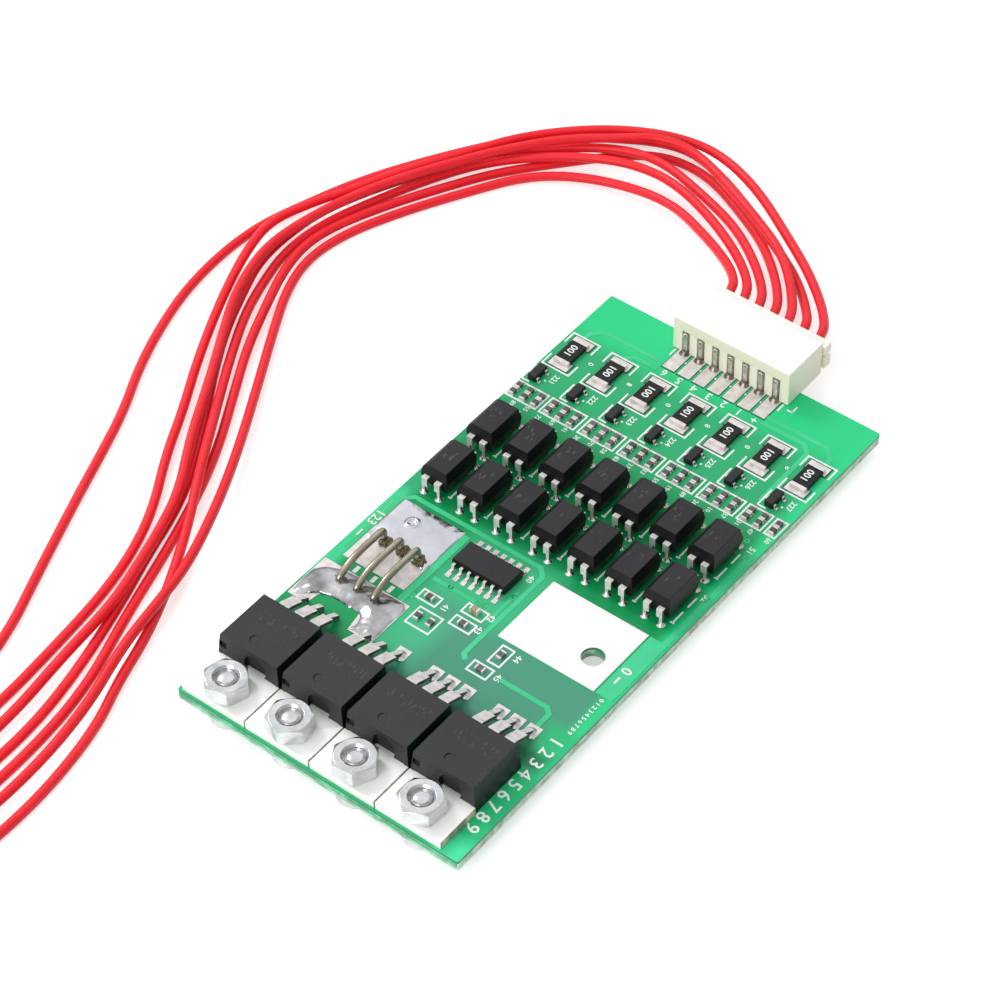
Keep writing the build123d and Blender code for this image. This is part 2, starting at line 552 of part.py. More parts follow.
# Bare sensing wires, bent down through the board at both ends
SHUNT_LINE = [(SHUNT_BACK, UNDER), (SHUNT_BACK, SHUNT_HEIGHT), (SHUNT_FRONT + SHUNT_SLOPE, SHUNT_HEIGHT),
              (SHUNT_FRONT, 0.9), (SHUNT_FRONT, UNDER)]
SHUNT_CUTS = (0.9, 0.3)
with BuildPart() as shunt_wires:
    shunt_line = cut_corners(cut_corners(SHUNT_LINE, SHUNT_CUTS[0]), SHUNT_CUTS[1])
    for x in SHUNT_X:
        with BuildLine(side_plane(x)) as shunt_path:
            Polyline(*shunt_line)
        with BuildSketch(TOP.offset(UNDER)):
            with Locations((x, SHUNT_BACK)):
                RegularPolygon(SHUNT_RADIUS, SHUNT_SIDES)
        sweep(path=shunt_path.line, transition=Transition.RIGHT)
save(shunt_wires, "shunt_wires")

# Power transistors: tab with its slug, moulded body, three bent leads
RECESS = (1.1, 2.2)
RECESS_RADIUS = 1.75
RECESS_DEPTH = 0.5
NOTCH = (0.8, 1.1)
NOTCH_DEPTH = 0.6
NOTCH_HEIGHT = (2.4, 3.4)
POWER_LEAD_STEP = (POWER_LEAD_Y - 1.5, 1.5)
POWER_LEAD_WIDE_LINE = [(BODY_BACK, 2.45), (BODY_BACK + 1.1, 2.45), POWER_LEAD_STEP]
POWER_LEAD_NARROW_LINE = [POWER_LEAD_STEP, (POWER_LEAD_Y, 0.6), (POWER_LEAD_Y, UNDER)]
for number, x in enumerate(POWER_X, start=1):
    with BuildPart() as tab:
        slug_middle = (BODY_FRONT + SLUG_BACK) / 2
        with BuildSketch(TOP):
            bar(x, (TAB_FRONT + BODY_FRONT) / 2, TAB_WIDTH, BODY_FRONT - TAB_FRONT)
            bar(x, slug_middle, SLUG_WIDTH, SLUG_BACK - BODY_FRONT)
            with Locations((x, SCREW_Y)):
                Circle(SCREW_RADIUS, mode=Mode.SUBTRACT)
        extrude(amount=TAB_THICKNESS)
    save(tab, f"power_transistor_tab_{number}")

    with BuildPart() as body:
        body_middle = (BODY_FRONT + BODY_BACK) / 2
        body_length = BODY_BACK - BODY_FRONT
        boxes([(x, body_middle)], BODY_WIDTH, body_length, 0, TAB_THICKNESS)
        with BuildSketch(TOP.offset(TAB_THICKNESS)):
            bar(x, body_middle, BODY_WIDTH, body_length)
        extrude(amount=BODY_HEIGHT - TAB_THICKNESS, taper=BODY_TAPER)
        boxes([(x, slug_middle)], SLUG_WIDTH, SLUG_BACK - BODY_FRONT, 0, TAB_THICKNESS, Mode.SUBTRACT)
        front_face = Plane(TOP.origin + Vector(x, BODY_FRONT, 0), x_dir=(1, 0, 0), z_dir=(0, -1, 0))
        with BuildSketch(front_face):
            with Locations(RECESS):
                Circle(RECESS_RADIUS)
            with Locations((RECESS[0], TAB_THICKNESS - RECESS_RADIUS / 2)):
                Rectangle(2 * RECESS_RADIUS, RECESS_RADIUS, mode=Mode.SUBTRACT)
        extrude(amount=-RECESS_DEPTH, mode=Mode.SUBTRACT)
        boxes([(x - BODY_WIDTH / 2 + NOTCH[0], BODY_FRONT)], NOTCH[1], 2 * NOTCH_DEPTH,
              NOTCH_HEIGHT[0], NOTCH_HEIGHT[1], Mode.SUBTRACT)
    save(body, f"power_transistor_body_{number}")

    with BuildPart() as leads:
        lead_x = [x + POWER_LEAD_PITCH * k for k in (-1, 0, 1)]
        bent_strips(lead_x, POWER_LEAD_WIDE_LINE, POWER_LEAD_THICKNESS, POWER_LEAD_WIDE)
        bent_strips(lead_x, POWER_LEAD_NARROW_LINE, POWER_LEAD_THICKNESS, POWER_LEAD_NARROW)
    save(leads, f"power_transistor_leads_{number}")

# Screws from below with their nuts on the tabs
with BuildPart() as tab_screws:
    rounds(screw_places, SCREW_RADIUS, UNDER, SCREW_END)
    rounds(screw_places, SCREW_HEAD_RADIUS, FLOOR, UNDER)
    with BuildSketch(TOP.offset(FLOOR)):
        with Locations(*screw_places):
            RegularPolygon(SCREW_SOCKET_RADIUS, 6)
    extrude(amount=STANDOFF / 2, mode=Mode.SUBTRACT)
save(tab_screws, "tab_screws")

with BuildPart() as tab_nuts:
    for place, turn in zip(screw_places, NUT_TURNS):
        with BuildSketch(TOP.offset(TAB_THICKNESS)):
            with Locations(Location((place[0], place[1], 0), (0, 0, turn))):
                RegularPolygon(NUT_FLATS / 2, 6, major_radius=False)
            with Locations(place):
                Circle(SCREW_RADIUS, mode=Mode.SUBTRACT)
        extrude(amount=NUT_HEIGHT)
save(tab_nuts, "tab_nuts")

# Optocouplers: moulded bodies with a narrow band at the seam and one bevelled edge, legs bent down
# through the board
shoulder = OPTO_SEAM + OPTO_SEAM_HEIGHT / 2
shoulder_x = [x + OPTO_SHOULDER_X * side for x in OPTO_X for side in (-1, 1)]
OPTO_LEG_STEP = 1.2
OPTO_WIDE_LINE = [(OPTO_LENGTH / 2, shoulder), (OPTO_LEG_Y, shoulder), (OPTO_LEG_Y, OPTO_LEG_STEP)]
for row, y in OPTO_ROWS.items():
    with BuildPart() as opto_bodies:
        for x in OPTO_X:
            boxes([(x, y)], OPTO_WIDTH, OPTO_LENGTH, OPTO_SEAM, OPTO_SEAM + OPTO_SEAM_HEIGHT)
            with BuildSketch(TOP.offset(OPTO_SEAM + OPTO_SEAM_HEIGHT)):
                bar(x, y, OPTO_WIDTH, OPTO_LENGTH)
            extrude(amount=OPTO_TOP - OPTO_SEAM - OPTO_SEAM_HEIGHT, taper=OPTO_TAPER)
            with BuildSketch(TOP.offset(OPTO_SEAM)):
                bar(x, y, OPTO_WIDTH, OPTO_LENGTH)
            extrude(amount=OPTO_SEAM - OPTO_BOTTOM, dir=(0, 0, -1), taper=OPTO_TAPER)
        tops = opto_bodies.faces().group_by(Axis.Z)[-1]
        chamfer([top.edges().filter_by(Axis.Y).sort_by(Axis.X)[0] for top in tops], OPTO_CHAMFER)
    save(opto_bodies, f"optocoupler_bodies_{row}")

    with BuildPart() as opto_legs:
        for points in (OPTO_WIDE_LINE, mirrored(OPTO_WIDE_LINE)):
            bent_strips(shoulder_x, shifted(points, y), OPTO_LEG_THICKNESS, OPTO_LEG_WIDE)
        boxes([(x, y + OPTO_LEG_Y * side) for x in opto_leg_x for side in (-1, 1)],
              OPTO_LEG_NARROW, OPTO_LEG_THICKNESS, UNDER, OPTO_LEG_STEP)
    save(opto_legs, f"optocoupler_legs_{row}")

# Protection chip and its gull-wing legs
CHIP_LEG = (0.2, 0.45)
chip_leg_height = (CHIP_GAP + CHIP_TOP) / 2
chip_leg_floor = PAD_THICKNESS + CHIP_LEG[0] / 2
CHIP_LEG_LINE = [(CHIP_WIDTH / 2, chip_leg_height), (CHIP_WIDTH / 2 + 0.35, chip_leg_height),
                 (CHIP_WIDTH / 2 + 0.5, chip_leg_floor),
                 (CHIP_SPAN / 2, chip_leg_floor)]
CHIP_TAPER = 7.0
CHIP_SEAM = 0.3
with BuildPart() as controller_chip:
    boxes([(CHIP_X, CHIP_Y)], CHIP_LENGTH, CHIP_WIDTH,
          chip_leg_height - CHIP_SEAM / 2, chip_leg_height + CHIP_SEAM / 2)
    with BuildSketch(TOP.offset(chip_leg_height + CHIP_SEAM / 2)):
        bar(CHIP_X, CHIP_Y, CHIP_LENGTH, CHIP_WIDTH)
    extrude(amount=CHIP_TOP - chip_leg_height - CHIP_SEAM / 2, taper=CHIP_TAPER)
    with BuildSketch(TOP.offset(chip_leg_height - CHIP_SEAM / 2)):
        bar(CHIP_X, CHIP_Y, CHIP_LENGTH, CHIP_WIDTH)
    extrude(amount=chip_leg_height - CHIP_SEAM / 2 - CHIP_GAP, dir=(0, 0, -1), taper=CHIP_TAPER)
save(controller_chip, "controller_chip")

with BuildPart() as controller_legs:
    for points in (CHIP_LEG_LINE, mirrored(CHIP_LEG_LINE)):
        bent_strips(chip_leg_x, shifted(points, CHIP_Y), CHIP_LEG[0], CHIP_LEG[1])
save(controller_legs, "controller_legs")

# Balance resistors: dark middle with a metal end on each pad
balance_middle = BALANCE_LENGTH - 2 * BALANCE_END
with BuildPart() as balance_resistors:
    boxes([(x, BALANCE_Y) for x in UNIT_X], BALANCE_WIDTH, balance_middle,
          PAD_THICKNESS, PAD_THICKNESS + BALANCE_HEIGHT)
save(balance_resistors, "balance_resistors")

with BuildPart() as balance_resistor_ends:
    boxes([(x, BALANCE_Y + side * (balance_middle + BALANCE_END) / 2) for x in UNIT_X for side in (-1, 1)],
          BALANCE_WIDTH, BALANCE_END, PAD_THICKNESS, PAD_THICKNESS + BALANCE_HEIGHT)
save(balance_resistor_ends, "balance_resistor_ends")

# Balance transistors, two leads on one side and one on the other
SMALL_LEG = (0.15, 0.42)
SMALL_LEG_Z = 0.55
SMALL_BODY_BOTTOM = 0.1
SMALL_LEG_DY = 0.95
small_half = SMALL_TRANSISTOR_SIZE[0] / 2
SMALL_LEG_LINE = [(small_half, SMALL_LEG_Z), (small_half + 0.2, SMALL_LEG_Z),
                  (small_half + 0.25, SMALL_LEG[0] / 2), (SMALL_TRANSISTOR_REACH, SMALL_LEG[0] / 2)]
SMALL_CORNER_GAP = 0.1
small_x = [x + SMALL_TRANSISTOR_SHIFT + SMALL_CORNER_GAP for x in UNIT_X]
with BuildPart() as balance_transistors:
    boxes([(x, SMALL_TRANSISTOR_Y) for x in small_x], SMALL_TRANSISTOR_SIZE[0], SMALL_TRANSISTOR_SIZE[1],
          SMALL_BODY_BOTTOM, SMALL_BODY_BOTTOM + SMALL_TRANSISTOR_SIZE[2])
save(balance_transistors, "balance_transistors")


def end_plane(y):
    """The upright plane across the board at y: its own X runs to the right, its own Y runs up."""
    return Plane(TOP.origin + Vector(0, y, 0), x_dir=(1, 0, 0), z_dir=(0, -1, 0))


with BuildPart() as balance_transistor_legs:
    for x in small_x:
        for side, rows in ((1, (-SMALL_LEG_DY, SMALL_LEG_DY)), (-1, (0,))):
            points = [(x + side * u, v) for u, v in SMALL_LEG_LINE]
            with BuildSketch(*[end_plane(SMALL_TRANSISTOR_Y + dy) for dy in rows]):
                with BuildLine():
                    Polyline(*strip_outline(points, SMALL_LEG[0]), close=True)
                make_face()
            extrude(amount=SMALL_LEG[1] / 2, both=True)
save(balance_transistor_legs, "balance_transistor_legs")

# Small chip resistors and one capacitor
chip_middle = CHIP_PART[1] - 2 * CHIP_PART_END
chip_end_shift = (chip_middle + CHIP_PART_END) / 2
CHIP_LIFT = 0.05
with BuildPart() as chip_resistors:
    boxes(RESISTORS_ALONG_Y, CHIP_PART[0], chip_middle, CHIP_LIFT, CHIP_PART[2])
    boxes(RESISTORS_ALONG_X, chip_middle, CHIP_PART[0], CHIP_LIFT, CHIP_PART[2])
save(chip_resistors, "chip_resistors")

with BuildPart() as chip_resistor_ends:
    boxes([(x, y + side * chip_end_shift) for x, y in RESISTORS_ALONG_Y for side in (-1, 1)],
          CHIP_PART[0], CHIP_PART_END, 0, CHIP_PART[2] + CHIP_LIFT)
    boxes([(x + side * chip_end_shift, y) for x, y in RESISTORS_ALONG_X for side in (-1, 1)],
          CHIP_PART_END, CHIP_PART[0], 0, CHIP_PART[2] + CHIP_LIFT)
save(chip_resistor_ends, "chip_resistor_ends")

with BuildPart() as chip_capacitor:
    boxes([CAPACITOR], chip_middle, CHIP_PART[0], CHIP_LIFT, 2 * CHIP_PART[2])
save(chip_capacitor, "chip_capacitor")

with BuildPart() as chip_capacitor_ends:
    boxes([(CAPACITOR[0] + side * chip_end_shift, CAPACITOR[1]) for side in (-1, 1)],
          CHIP_PART_END, CHIP_PART[0], 0, 2 * CHIP_PART[2] + CHIP_LIFT)
save(chip_capacitor_ends, "chip_capacitor_ends")

# Header, lying on the connector's pads over the board's end
with BuildPart() as connector_header:
    boxes([(0, (HEADER_BACK + HEADER_FRONT) / 2)], 2 * HEADER_HALF, HEADER_FRONT - HEADER_BACK,
          PAD_THICKNESS, HEADER_TOP)
    boxes([(0, (CAVITY_BACK + HEADER_FRONT) / 2)], 2 * CAVITY_HALF, HEADER_FRONT - CAVITY_BACK,
          CAVITY_FLOOR, CAVITY_TOP, Mode.SUBTRACT)
    boxes([(x, HEADER_BACK) for x in WAY_X], PIN_SLOT_WIDTH, 2 * PIN_SLOT_DEPTH,
          PAD_THICKNESS, PIN_SLOT_TOP, Mode.SUBTRACT)
    boxes([(x, HEADER_BACK) for x in WAY_X], PIN, 2 * HEADER_WALL,
          CONTACT_Z - PIN / 2, CONTACT_Z + PIN / 2, Mode.SUBTRACT)
save(connector_header, "connector_header")

PIN_LINE = [(PIN_TIP, CONTACT_Z), (PIN_Y, CONTACT_Z), (PIN_Y, FLOOR)]
with BuildPart() as connector_pins:
    bent_strips(WAY_X, PIN_LINE, PIN, PIN)
save(connector_pins, "connector_pins")

# Plug with one open channel for each contact
channel_bottom = CONTACT_Z - CONTACT_SIZE / 2
with BuildPart() as connector_plug:
    boxes([(0, (PLUG_BACK + PLUG_FRONT) / 2)], 2 * PLUG_HALF, PLUG_FRONT - PLUG_BACK, CAVITY_FLOOR, PLUG_TOP)
    boxes([(0, (EAR_BACK + PLUG_FRONT) / 2)], 2 * EAR_HALF, PLUG_FRONT - EAR_BACK, CAVITY_FLOOR, PLUG_TOP)
    boxes([(side * EAR_HALF, (EAR_BACK + PLUG_FRONT) / 2) for side in (-1, 1)], 2 * EAR_NOTCH_DEPTH,
          PLUG_FRONT - EAR_BACK, EAR_NOTCH[0], EAR_NOTCH[1], Mode.SUBTRACT)
    boxes([(x, (CONTACT_BACK + PLUG_FRONT) / 2) for x in WAY_X], CHANNEL_WIDTH, PLUG_FRONT - CONTACT_BACK,
          channel_bottom, channel_bottom + CHANNEL_HEIGHT, Mode.SUBTRACT)
    boxes([(x, PLUG_BACK) for x in WAY_X], PIN, 2 * (CONTACT_BACK - PLUG_BACK),
          CONTACT_Z - PIN / 2, CONTACT_Z + PIN / 2, Mode.SUBTRACT)
save(connector_plug, "connector_plug")

with BuildPart() as connector_contacts:
    contact_middle = (CONTACT_BACK + CONTACT_FRONT) / 2
    contact_length = CONTACT_FRONT - CONTACT_BACK
    boxes([(x, contact_middle) for x in WAY_X], CONTACT_SIZE, contact_length,
          channel_bottom, channel_bottom + CONTACT_SIZE)
    boxes([(x, contact_middle) for x in WAY_X], PIN, contact_length,
          CONTACT_Z - PIN / 2, CONTACT_Z + PIN / 2, Mode.SUBTRACT)
save(connector_contacts, "connector_contacts")

# Solder joints under the board, around the leads that end in it
UNDER_PLANE = TOP.offset(UNDER)


def joints(places, radius, height, sides=JOINT_SIDES):
    """Add a tapered solder joint under each place."""
    with BuildSketch(Plane(UNDER_PLANE.origin, x_dir=(1, 0, 0), z_dir=(0, 0, -1))) as outline:
        with Locations(*[(x, -y) for x, y in places]):
            RegularPolygon(radius, sides)
    extrude(outline.sketch, amount=height, taper=JOINT_TAPER)


with BuildPart() as solder_joints:
    joints(opto_leg_places, 0.95, JOINT_HEIGHT * 0.6, SMALL_JOINT_SIDES)
    joints(power_lead_places, 1.1, JOINT_HEIGHT)
    joints(shunt_places, 1.1, JOINT_HEIGHT)
    joints(pin_places, 1.0, JOINT_HEIGHT)
    boxes(pin_places, PIN, PIN, FLOOR, UNDER, Mode.SUBTRACT)
save(solder_joints, "solder_joints")


def bend_radii(route):
    """The largest even bend at each inner corner of a route, with straight parts left between."""
    points = [Vector(*point) for point in route]
    runs = [after - before for before, after in zip(points, points[1:])]
    radii = []
    for before, after in zip(runs, runs[1:]):
        turn = radians(before.get_angle(after))
        shorter = min(before.length, after.length)
        radii.append(0.45 * shorter / tan(turn / 2))
    return radii


# Cell leads, from the contacts over the floor to their bare ends
FLOOR_PLANE = TOP.offset(FLOOR)
for number, route in enumerate(LEAD_ROUTES, start=1):
    radii = bend_radii(route)
    with BuildPart() as cell_lead:
        with BuildLine(FLOOR_PLANE) as lead_path:
            FilletPolyline(*route, radius=radii)
        with BuildSketch(Plane(lead_path.line @ 0, z_dir=lead_path.line % 0)):
            Circle(LEAD_RADIUS)
        sweep(path=lead_path.line)
    length = sum(edge.length for edge in lead_path.edges())
    section = 3.14159 * LEAD_RADIUS ** 2
    print(f"lead {number}: length {length:.1f}, smallest bend {min(radii):.1f}, "
          f"volume to section times length {cell_lead.part.volume / section / length:.4f}")
    save(cell_lead, f"cell_lead_{number}")
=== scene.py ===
"""Battery management board: the looks of its pieces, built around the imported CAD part."""

import math
import random

import bmesh
import bpy
from bpy.props import FloatProperty, FloatVectorProperty, IntProperty, PointerProperty
from mathutils import Matrix, Vector, noise


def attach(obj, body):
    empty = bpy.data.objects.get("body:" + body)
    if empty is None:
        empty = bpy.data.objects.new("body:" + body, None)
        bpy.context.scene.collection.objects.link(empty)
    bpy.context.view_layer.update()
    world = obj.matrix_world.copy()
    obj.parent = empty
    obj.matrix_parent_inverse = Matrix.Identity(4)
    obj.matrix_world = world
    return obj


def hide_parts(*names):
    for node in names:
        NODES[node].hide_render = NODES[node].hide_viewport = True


bl_info = {
    "name": "Battery Management Board",
    "version": (1, 0, 0),
    "blender": (4, 5, 0),
    "location": "3D View > Sidebar > Battery Board",
    "description": "Builds a seven-way battery management board with its cell leads",
    "category": "Mesh",
}

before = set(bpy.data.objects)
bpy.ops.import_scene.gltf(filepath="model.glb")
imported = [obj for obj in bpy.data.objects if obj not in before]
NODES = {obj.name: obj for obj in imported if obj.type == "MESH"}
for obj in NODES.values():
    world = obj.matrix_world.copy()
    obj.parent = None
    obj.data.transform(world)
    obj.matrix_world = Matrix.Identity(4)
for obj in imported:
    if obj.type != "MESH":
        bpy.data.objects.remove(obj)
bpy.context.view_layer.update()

# The middle of the board's top in the frame, in metres
MM = 0.001
BOARD_MIDDLE_Y = -2.35
BOARD_TOP = 3.6

# Camera, as the photograph was taken
CAMERA_PLACE = (0.184271, -0.239787, 0.329077)
CAMERA_RIGHT = (0.78729, 0.61646, -0.01221)
CAMERA_DOWN = (0.43920, -0.57458, -0.69062)
CAMERA_FORWARD = (-0.43276, 0.53836, -0.72312)
CAMERA_LENS = 122.9
CAMERA_SENSOR = 36.0

# Cell leads: the same points as the route of the solids, in millimetres from the middle of the board,
# with the height above the floor. Each lead leaves the plug straight back, and its route follows.
LEAD_DIAMETER = 1.4
LEAD_EXIT_Y = 48.6
LEAD_STRAIGHT_Y = 53.5
LEAD_EXIT_HEIGHT = 6.75
LEAD_LENGTHS = (0.2367, 0.2355, 0.2385, 0.2416, 0.2386, 0.2311, 0.2447)
LEAD_ROUTES = (
    ((-11, 58.5, 5.1), (-19, 63.5, 3.5), (-29, 68, 2.1), (-40.5, 66.5, 1.2), (-49, 61.5, 0.9),
     (-54.5, 52.5, 0.7), (-59, 44, 0.7), (-62.5, 35.5, 0.7), (-63.5, 28, 0.7), (-61.5, 21, 0.8),
     (-57.5, 13.5, 0.9), (-51.5, 3, 1.2), (-45, -8.5, 1.8), (-40, -18.5, 2.5), (-36, -28.5, 2.9),
     (-34.5, -36.5, 3), (-33.5, -44, 2.4), (-30.5, -54, 1.9), (-29, -66, 1.6), (-29.5, -80, 1.2),
     (-31.5, -96, 1), (-32.5, -112, 0.7)),
    ((-9.5, 59.5, 5.3), (-19, 66, 4.1), (-29.5, 70.5, 3.3), (-37, 70.5, 3), (-43.5, 68, 2.7),
     (-49.5, 64, 2.4), (-56, 58.5, 1.5), (-60.5, 50.5, 1.2), (-64, 42, 0.9), (-66.5, 34.5, 0.8),
     (-67, 27, 0.7), (-65, 19.5, 0.8), (-62.5, 13, 1.1), (-57.5, 4, 1.7), (-52, -5, 2.3), (-46, -15, 2.5),
     (-41, -23, 2), (-36.5, -31.5, 1.6), (-33, -40, 1.2), (-31, -47.5, 0.8), (-28, -55, 0.7),
     (-26, -67, 0.7), (-26, -79, 0.8), (-27, -90, 0.8), (-28, -100, 0.7)),
    ((-7, 59.5, 5.5), (-15.5, 66.5, 4.2), (-24, 70.5, 3.2), (-35, 74, 2.7), (-42.5, 72, 2.4),
     (-51, 66, 1.8), (-57, 59.5, 1.4), (-61.5, 52, 1.3), (-65.5, 44, 1.2), (-68, 36.5, 1.3),
     (-68.5, 29.5, 1.5), (-68, 22.5, 1.5), (-65.5, 16, 1.4), (-62.5, 9, 1.3), (-58.5, 2, 0.9),
     (-53.5, -5.5, 0.9), (-48, -14.5, 0.8), (-45, -21.5, 0.7), (-43, -28.5, 0.7), (-40, -37, 0.7),
     (-36.5, -49, 0.7), (-34.5, -60, 0.7), (-34.5, -72, 0.7), (-36.5, -86, 0.7), (-38, -98, 0.7)),
    ((-4.5, 60, 5), (-11.5, 67, 3.3), (-18, 71.5, 2), (-27.5, 76.5, 1.2), (-35, 77, 0.8), (-40.5, 74, 0.7),
     (-48.5, 65, 0.7), (-53.5, 58.5, 0.9), (-57.5, 51, 1.1), (-61, 43.5, 1.4), (-64, 35.5, 1.6),
     (-65, 29.5, 1.7), (-64, 23.5, 1.6), (-61.5, 17, 1.5), (-58, 8.5, 1.1), (-53.5, 0.5, 0.9),
     (-49, -7.5, 0.8), (-46, -14, 0.7), (-43.5, -20.5, 0.7), (-41, -28, 0.7), (-38, -38, 0.7),
     (-33.5, -51, 0.7), (-32, -63, 0.7), (-32, -75, 0.7), (-34, -88, 0.7), (-35, -99, 0.7)),
    ((-2.5, 60.5, 5.6), (-8, 66, 4.9), (-15, 70, 4.5), (-21, 73, 4.2), (-30, 77, 4), (-36.5, 77, 4),
     (-41.5, 73, 4), (-48.5, 67.5, 3.9), (-54, 60.5, 3.7), (-59, 52.5, 3.5), (-63.5, 44, 3.4),
     (-66.5, 35, 3.3), (-68, 26, 3.2), (-67, 19.5, 3), (-64.5, 13, 3), (-60.5, 6, 2.9), (-56, -2, 2.7),
     (-51.5, -10.5, 2.6), (-46, -19, 2.5), (-43.5, -25.5, 2.4), (-41.5, -32, 2.4), (-39.5, -39.5, 2.3),
     (-39, -49, 1.6), (-37.5, -60, 1.4), (-37.5, -72, 1.1), (-39.5, -83, 0.9), (-41, -92, 0.7)),
    ((1, 59, 4.9), (-5, 65, 3.2), (-13.5, 70.5, 2), (-23.5, 76.5, 1.2), (-32.5, 80, 0.8), (-38.5, 79, 0.7),
     (-44.5, 75.5, 0.7), (-50.5, 71.5, 0.7), (-55.5, 67, 0.7), (-60.5, 59.5, 0.7), (-65.5, 51, 0.7),
     (-69, 43.5, 0.7), (-71.5, 36, 0.7), (-73.5, 29.5, 0.7), (-74, 21.5, 0.7), (-73, 12.5, 0.7),
     (-70.5, 4, 0.7), (-67.5, -3.5, 0.7), (-63.5, -11, 0.7), (-60.5, -18.5, 0.7), (-57.5, -26.5, 0.7),
     (-52.5, -39, 0.7), (-47.5, -51, 0.7), (-45, -64, 0.7), (-45.5, -76, 0.7)),
    ((4.5, 58.5, 5.4), (-2, 64.5, 4.8), (-9, 69.5, 4.2), (-19.5, 76.5, 3.5), (-29, 80, 3.1),
     (-36.5, 79, 3), (-43, 75.5, 3.2), (-49, 70.5, 3.3), (-54.5, 64, 3.3), (-58.5, 56.5, 3.2),
     (-63, 49, 3), (-66.5, 41, 2.9), (-69.5, 35, 2.8), (-71.5, 29, 2.6), (-70.5, 23, 2.1), (-68, 16, 1.8),
     (-65, 9, 1.4), (-61, 1, 1.2), (-57, -6, 1), (-53, -14, 0.9), (-48, -22, 0.8), (-45, -29, 0.7),
     (-42.8, -37.5, 0.7), (-41.5, -48.5, 0.7), (-40.5, -60, 0.7), (-41, -70, 0.7), (-43, -80, 0.7),
     (-45, -88, 0.7)),
)

# Places of the parts on the board, in millimetres from its middle
POWER_PITCH = 10.43
POWER_X = tuple(-16.75 + POWER_PITCH * i for i in range(4))
TAB_THICKNESS = 1.3
BODY_HEIGHT = 4.5
SCREW_Y = -42.4
POWER_LEAD_Y = -24.4
POWER_LEAD_PITCH = 2.54
POWER_LEAD_X = tuple(x + POWER_LEAD_PITCH * k for x in POWER_X for k in (-1, 0, 1))
SHUNT_X = (-17.9, -15.0, -12.2)
SHUNT_BACK = -10.2
SHUNT_FRONT = -19.5
BATTERY_SOLDER = (-20.6, -10.4, -11.6, -2.5)
SOURCE_PAD = ((-22.2, -17.0), (-8.0, -17.0), (-8.0, -24.9), (-11.9, -24.9), (-12.5, -21.3), (-18.5, -21.3),
              (-19.0, -24.6), (-22.2, -24.6))
SOURCE_SOLDER = (
    (-22.1, -19.5), (-21.2, -18.4), (-19.6, -17.6), (-18.0, -17.2), (-8.9, -17.15), (-8.1, -17.9),
    (-8.1, -24.7), (-11.85, -24.7), (-11.5, -23.6), (-11.8, -22.4), (-12.6, -21.7), (-14.3, -21.8),
    (-17.2, -21.7), (-18.8, -22.3), (-19.9, -23.2), (-21.0, -24.4), (-22.1, -24.4),
)
UNIT_PITCH = 6.546
UNIT_X = tuple(-19.788 + UNIT_PITCH * i for i in range(7))
BALANCE_Y = 32.6
BALANCE_END = 2.5
CHIP_COLUMNS = (
    *(-19.75 + c for c in (-1.9, 0.0, 1.9)),
    *(x - 0.41 + c for x in UNIT_X[1:-1] for c in (-1.95, 0.0, 1.95)),
    17.0, 19.0, 21.35,
)
CHIP_PLACES = tuple((x, y) for x in CHIP_COLUMNS for y in (23.4, 21.98))
CHIP_END = 0.56
OPTO_PITCH = 6.04
OPTO_X = tuple(-18.25 + OPTO_PITCH * i for i in range(7))
OPTO_ROWS = (13.5, 3.9)
OPTO_LEG_X = 1.27
OPTO_LEG_Y = 3.81
WAY_X = tuple(2.5 * (i - 3) for i in range(7))
WAY_PAD_Y = 40.75
PIN_Y = 42.5

# Nuts, in millimetres from their own foot
NUT_TURNS = (12, 41, 3, 25)
NUT_FLAT = 2.75
NUT_CORNER = 3.2
NUT_HEIGHT = 2.4
NUT_BORE = 1.5
NUT_THREAD = 0.14
NUT_THREAD_PITCH = 0.4
SCREW_END = 3.3

# Print
PRINT_THICKNESS = 0.05
OVER_COPPER = 0.06
FIGURE_SHARE = 1.42
FIGURE_WEIGHT = 0.012

# Heaped solder, and the sink marks on the power transistors, in millimetres
RELIEF_STEP = 0.12
SOURCE_HEAPS = ((-19.8, -21.9), (-17.0, -20.4), (-13.9, -19.9), (-10.8, -20.4))
SINK_RADIUS = 0.7
SINK_DEPTH = 0.16

# Floor: its radius in metres, and the white that the camera and reflections see on it
FLOOR_RADIUS = 3.0
FLOOR_GLOW = 0.55


def place(x, y, z):
    """A point of the board in the frame: millimetres from the middle of its top, to metres."""
    return Vector((x * MM, (y + BOARD_MIDDLE_Y) * MM, (z + BOARD_TOP) * MM))


def placing(x, y, z, turn=0.0):
    """The move that sets a shape drawn in millimetres on the board, turned by some degrees."""
    turned_round = Matrix.Rotation(math.radians(turn), 4, "Z")
    return Matrix.Translation(place(x, y, z)) @ turned_round @ Matrix.Scale(MM, 4)


def placed(name, data):
    """A new object in the scene."""
    made = bpy.data.objects.new(name, data)
    bpy.context.scene.collection.objects.link(made)
    return made


def linear(colour):
    """A colour as it is seen on a screen, as the linear values that a shader takes."""
    return tuple(c / 12.92 if c <= 0.04045 else ((c + 0.055) / 1.055) ** 2.4 for c in colour) + (1.0,)


# Node trees


def add_node(tree, kind, inputs=None, **settings):
    """A node with its settings, and its inputs set to values or linked to sockets."""
    made = tree.nodes.new(kind)
    for key, value in settings.items():
        setattr(made, key, value)
    for key, value in (inputs or {}).items():
        if isinstance(value, bpy.types.NodeSocket):
            tree.links.new(value, made.inputs[key])
        else:
            made.inputs[key].default_value = value
    return made


def maths(tree, operation, *values, clamp=False):
    """The value of one math operation on numbers or sockets."""
    made = add_node(tree, "ShaderNodeMath", dict(enumerate(values)), operation=operation, use_clamp=clamp)
    return made.outputs[0]


def mixed(tree, factor, low, high):
    """A colour between two colours."""
    return add_node(tree, "ShaderNodeMix", {0: factor, 6: low, 7: high}, data_type="RGBA").outputs[2]


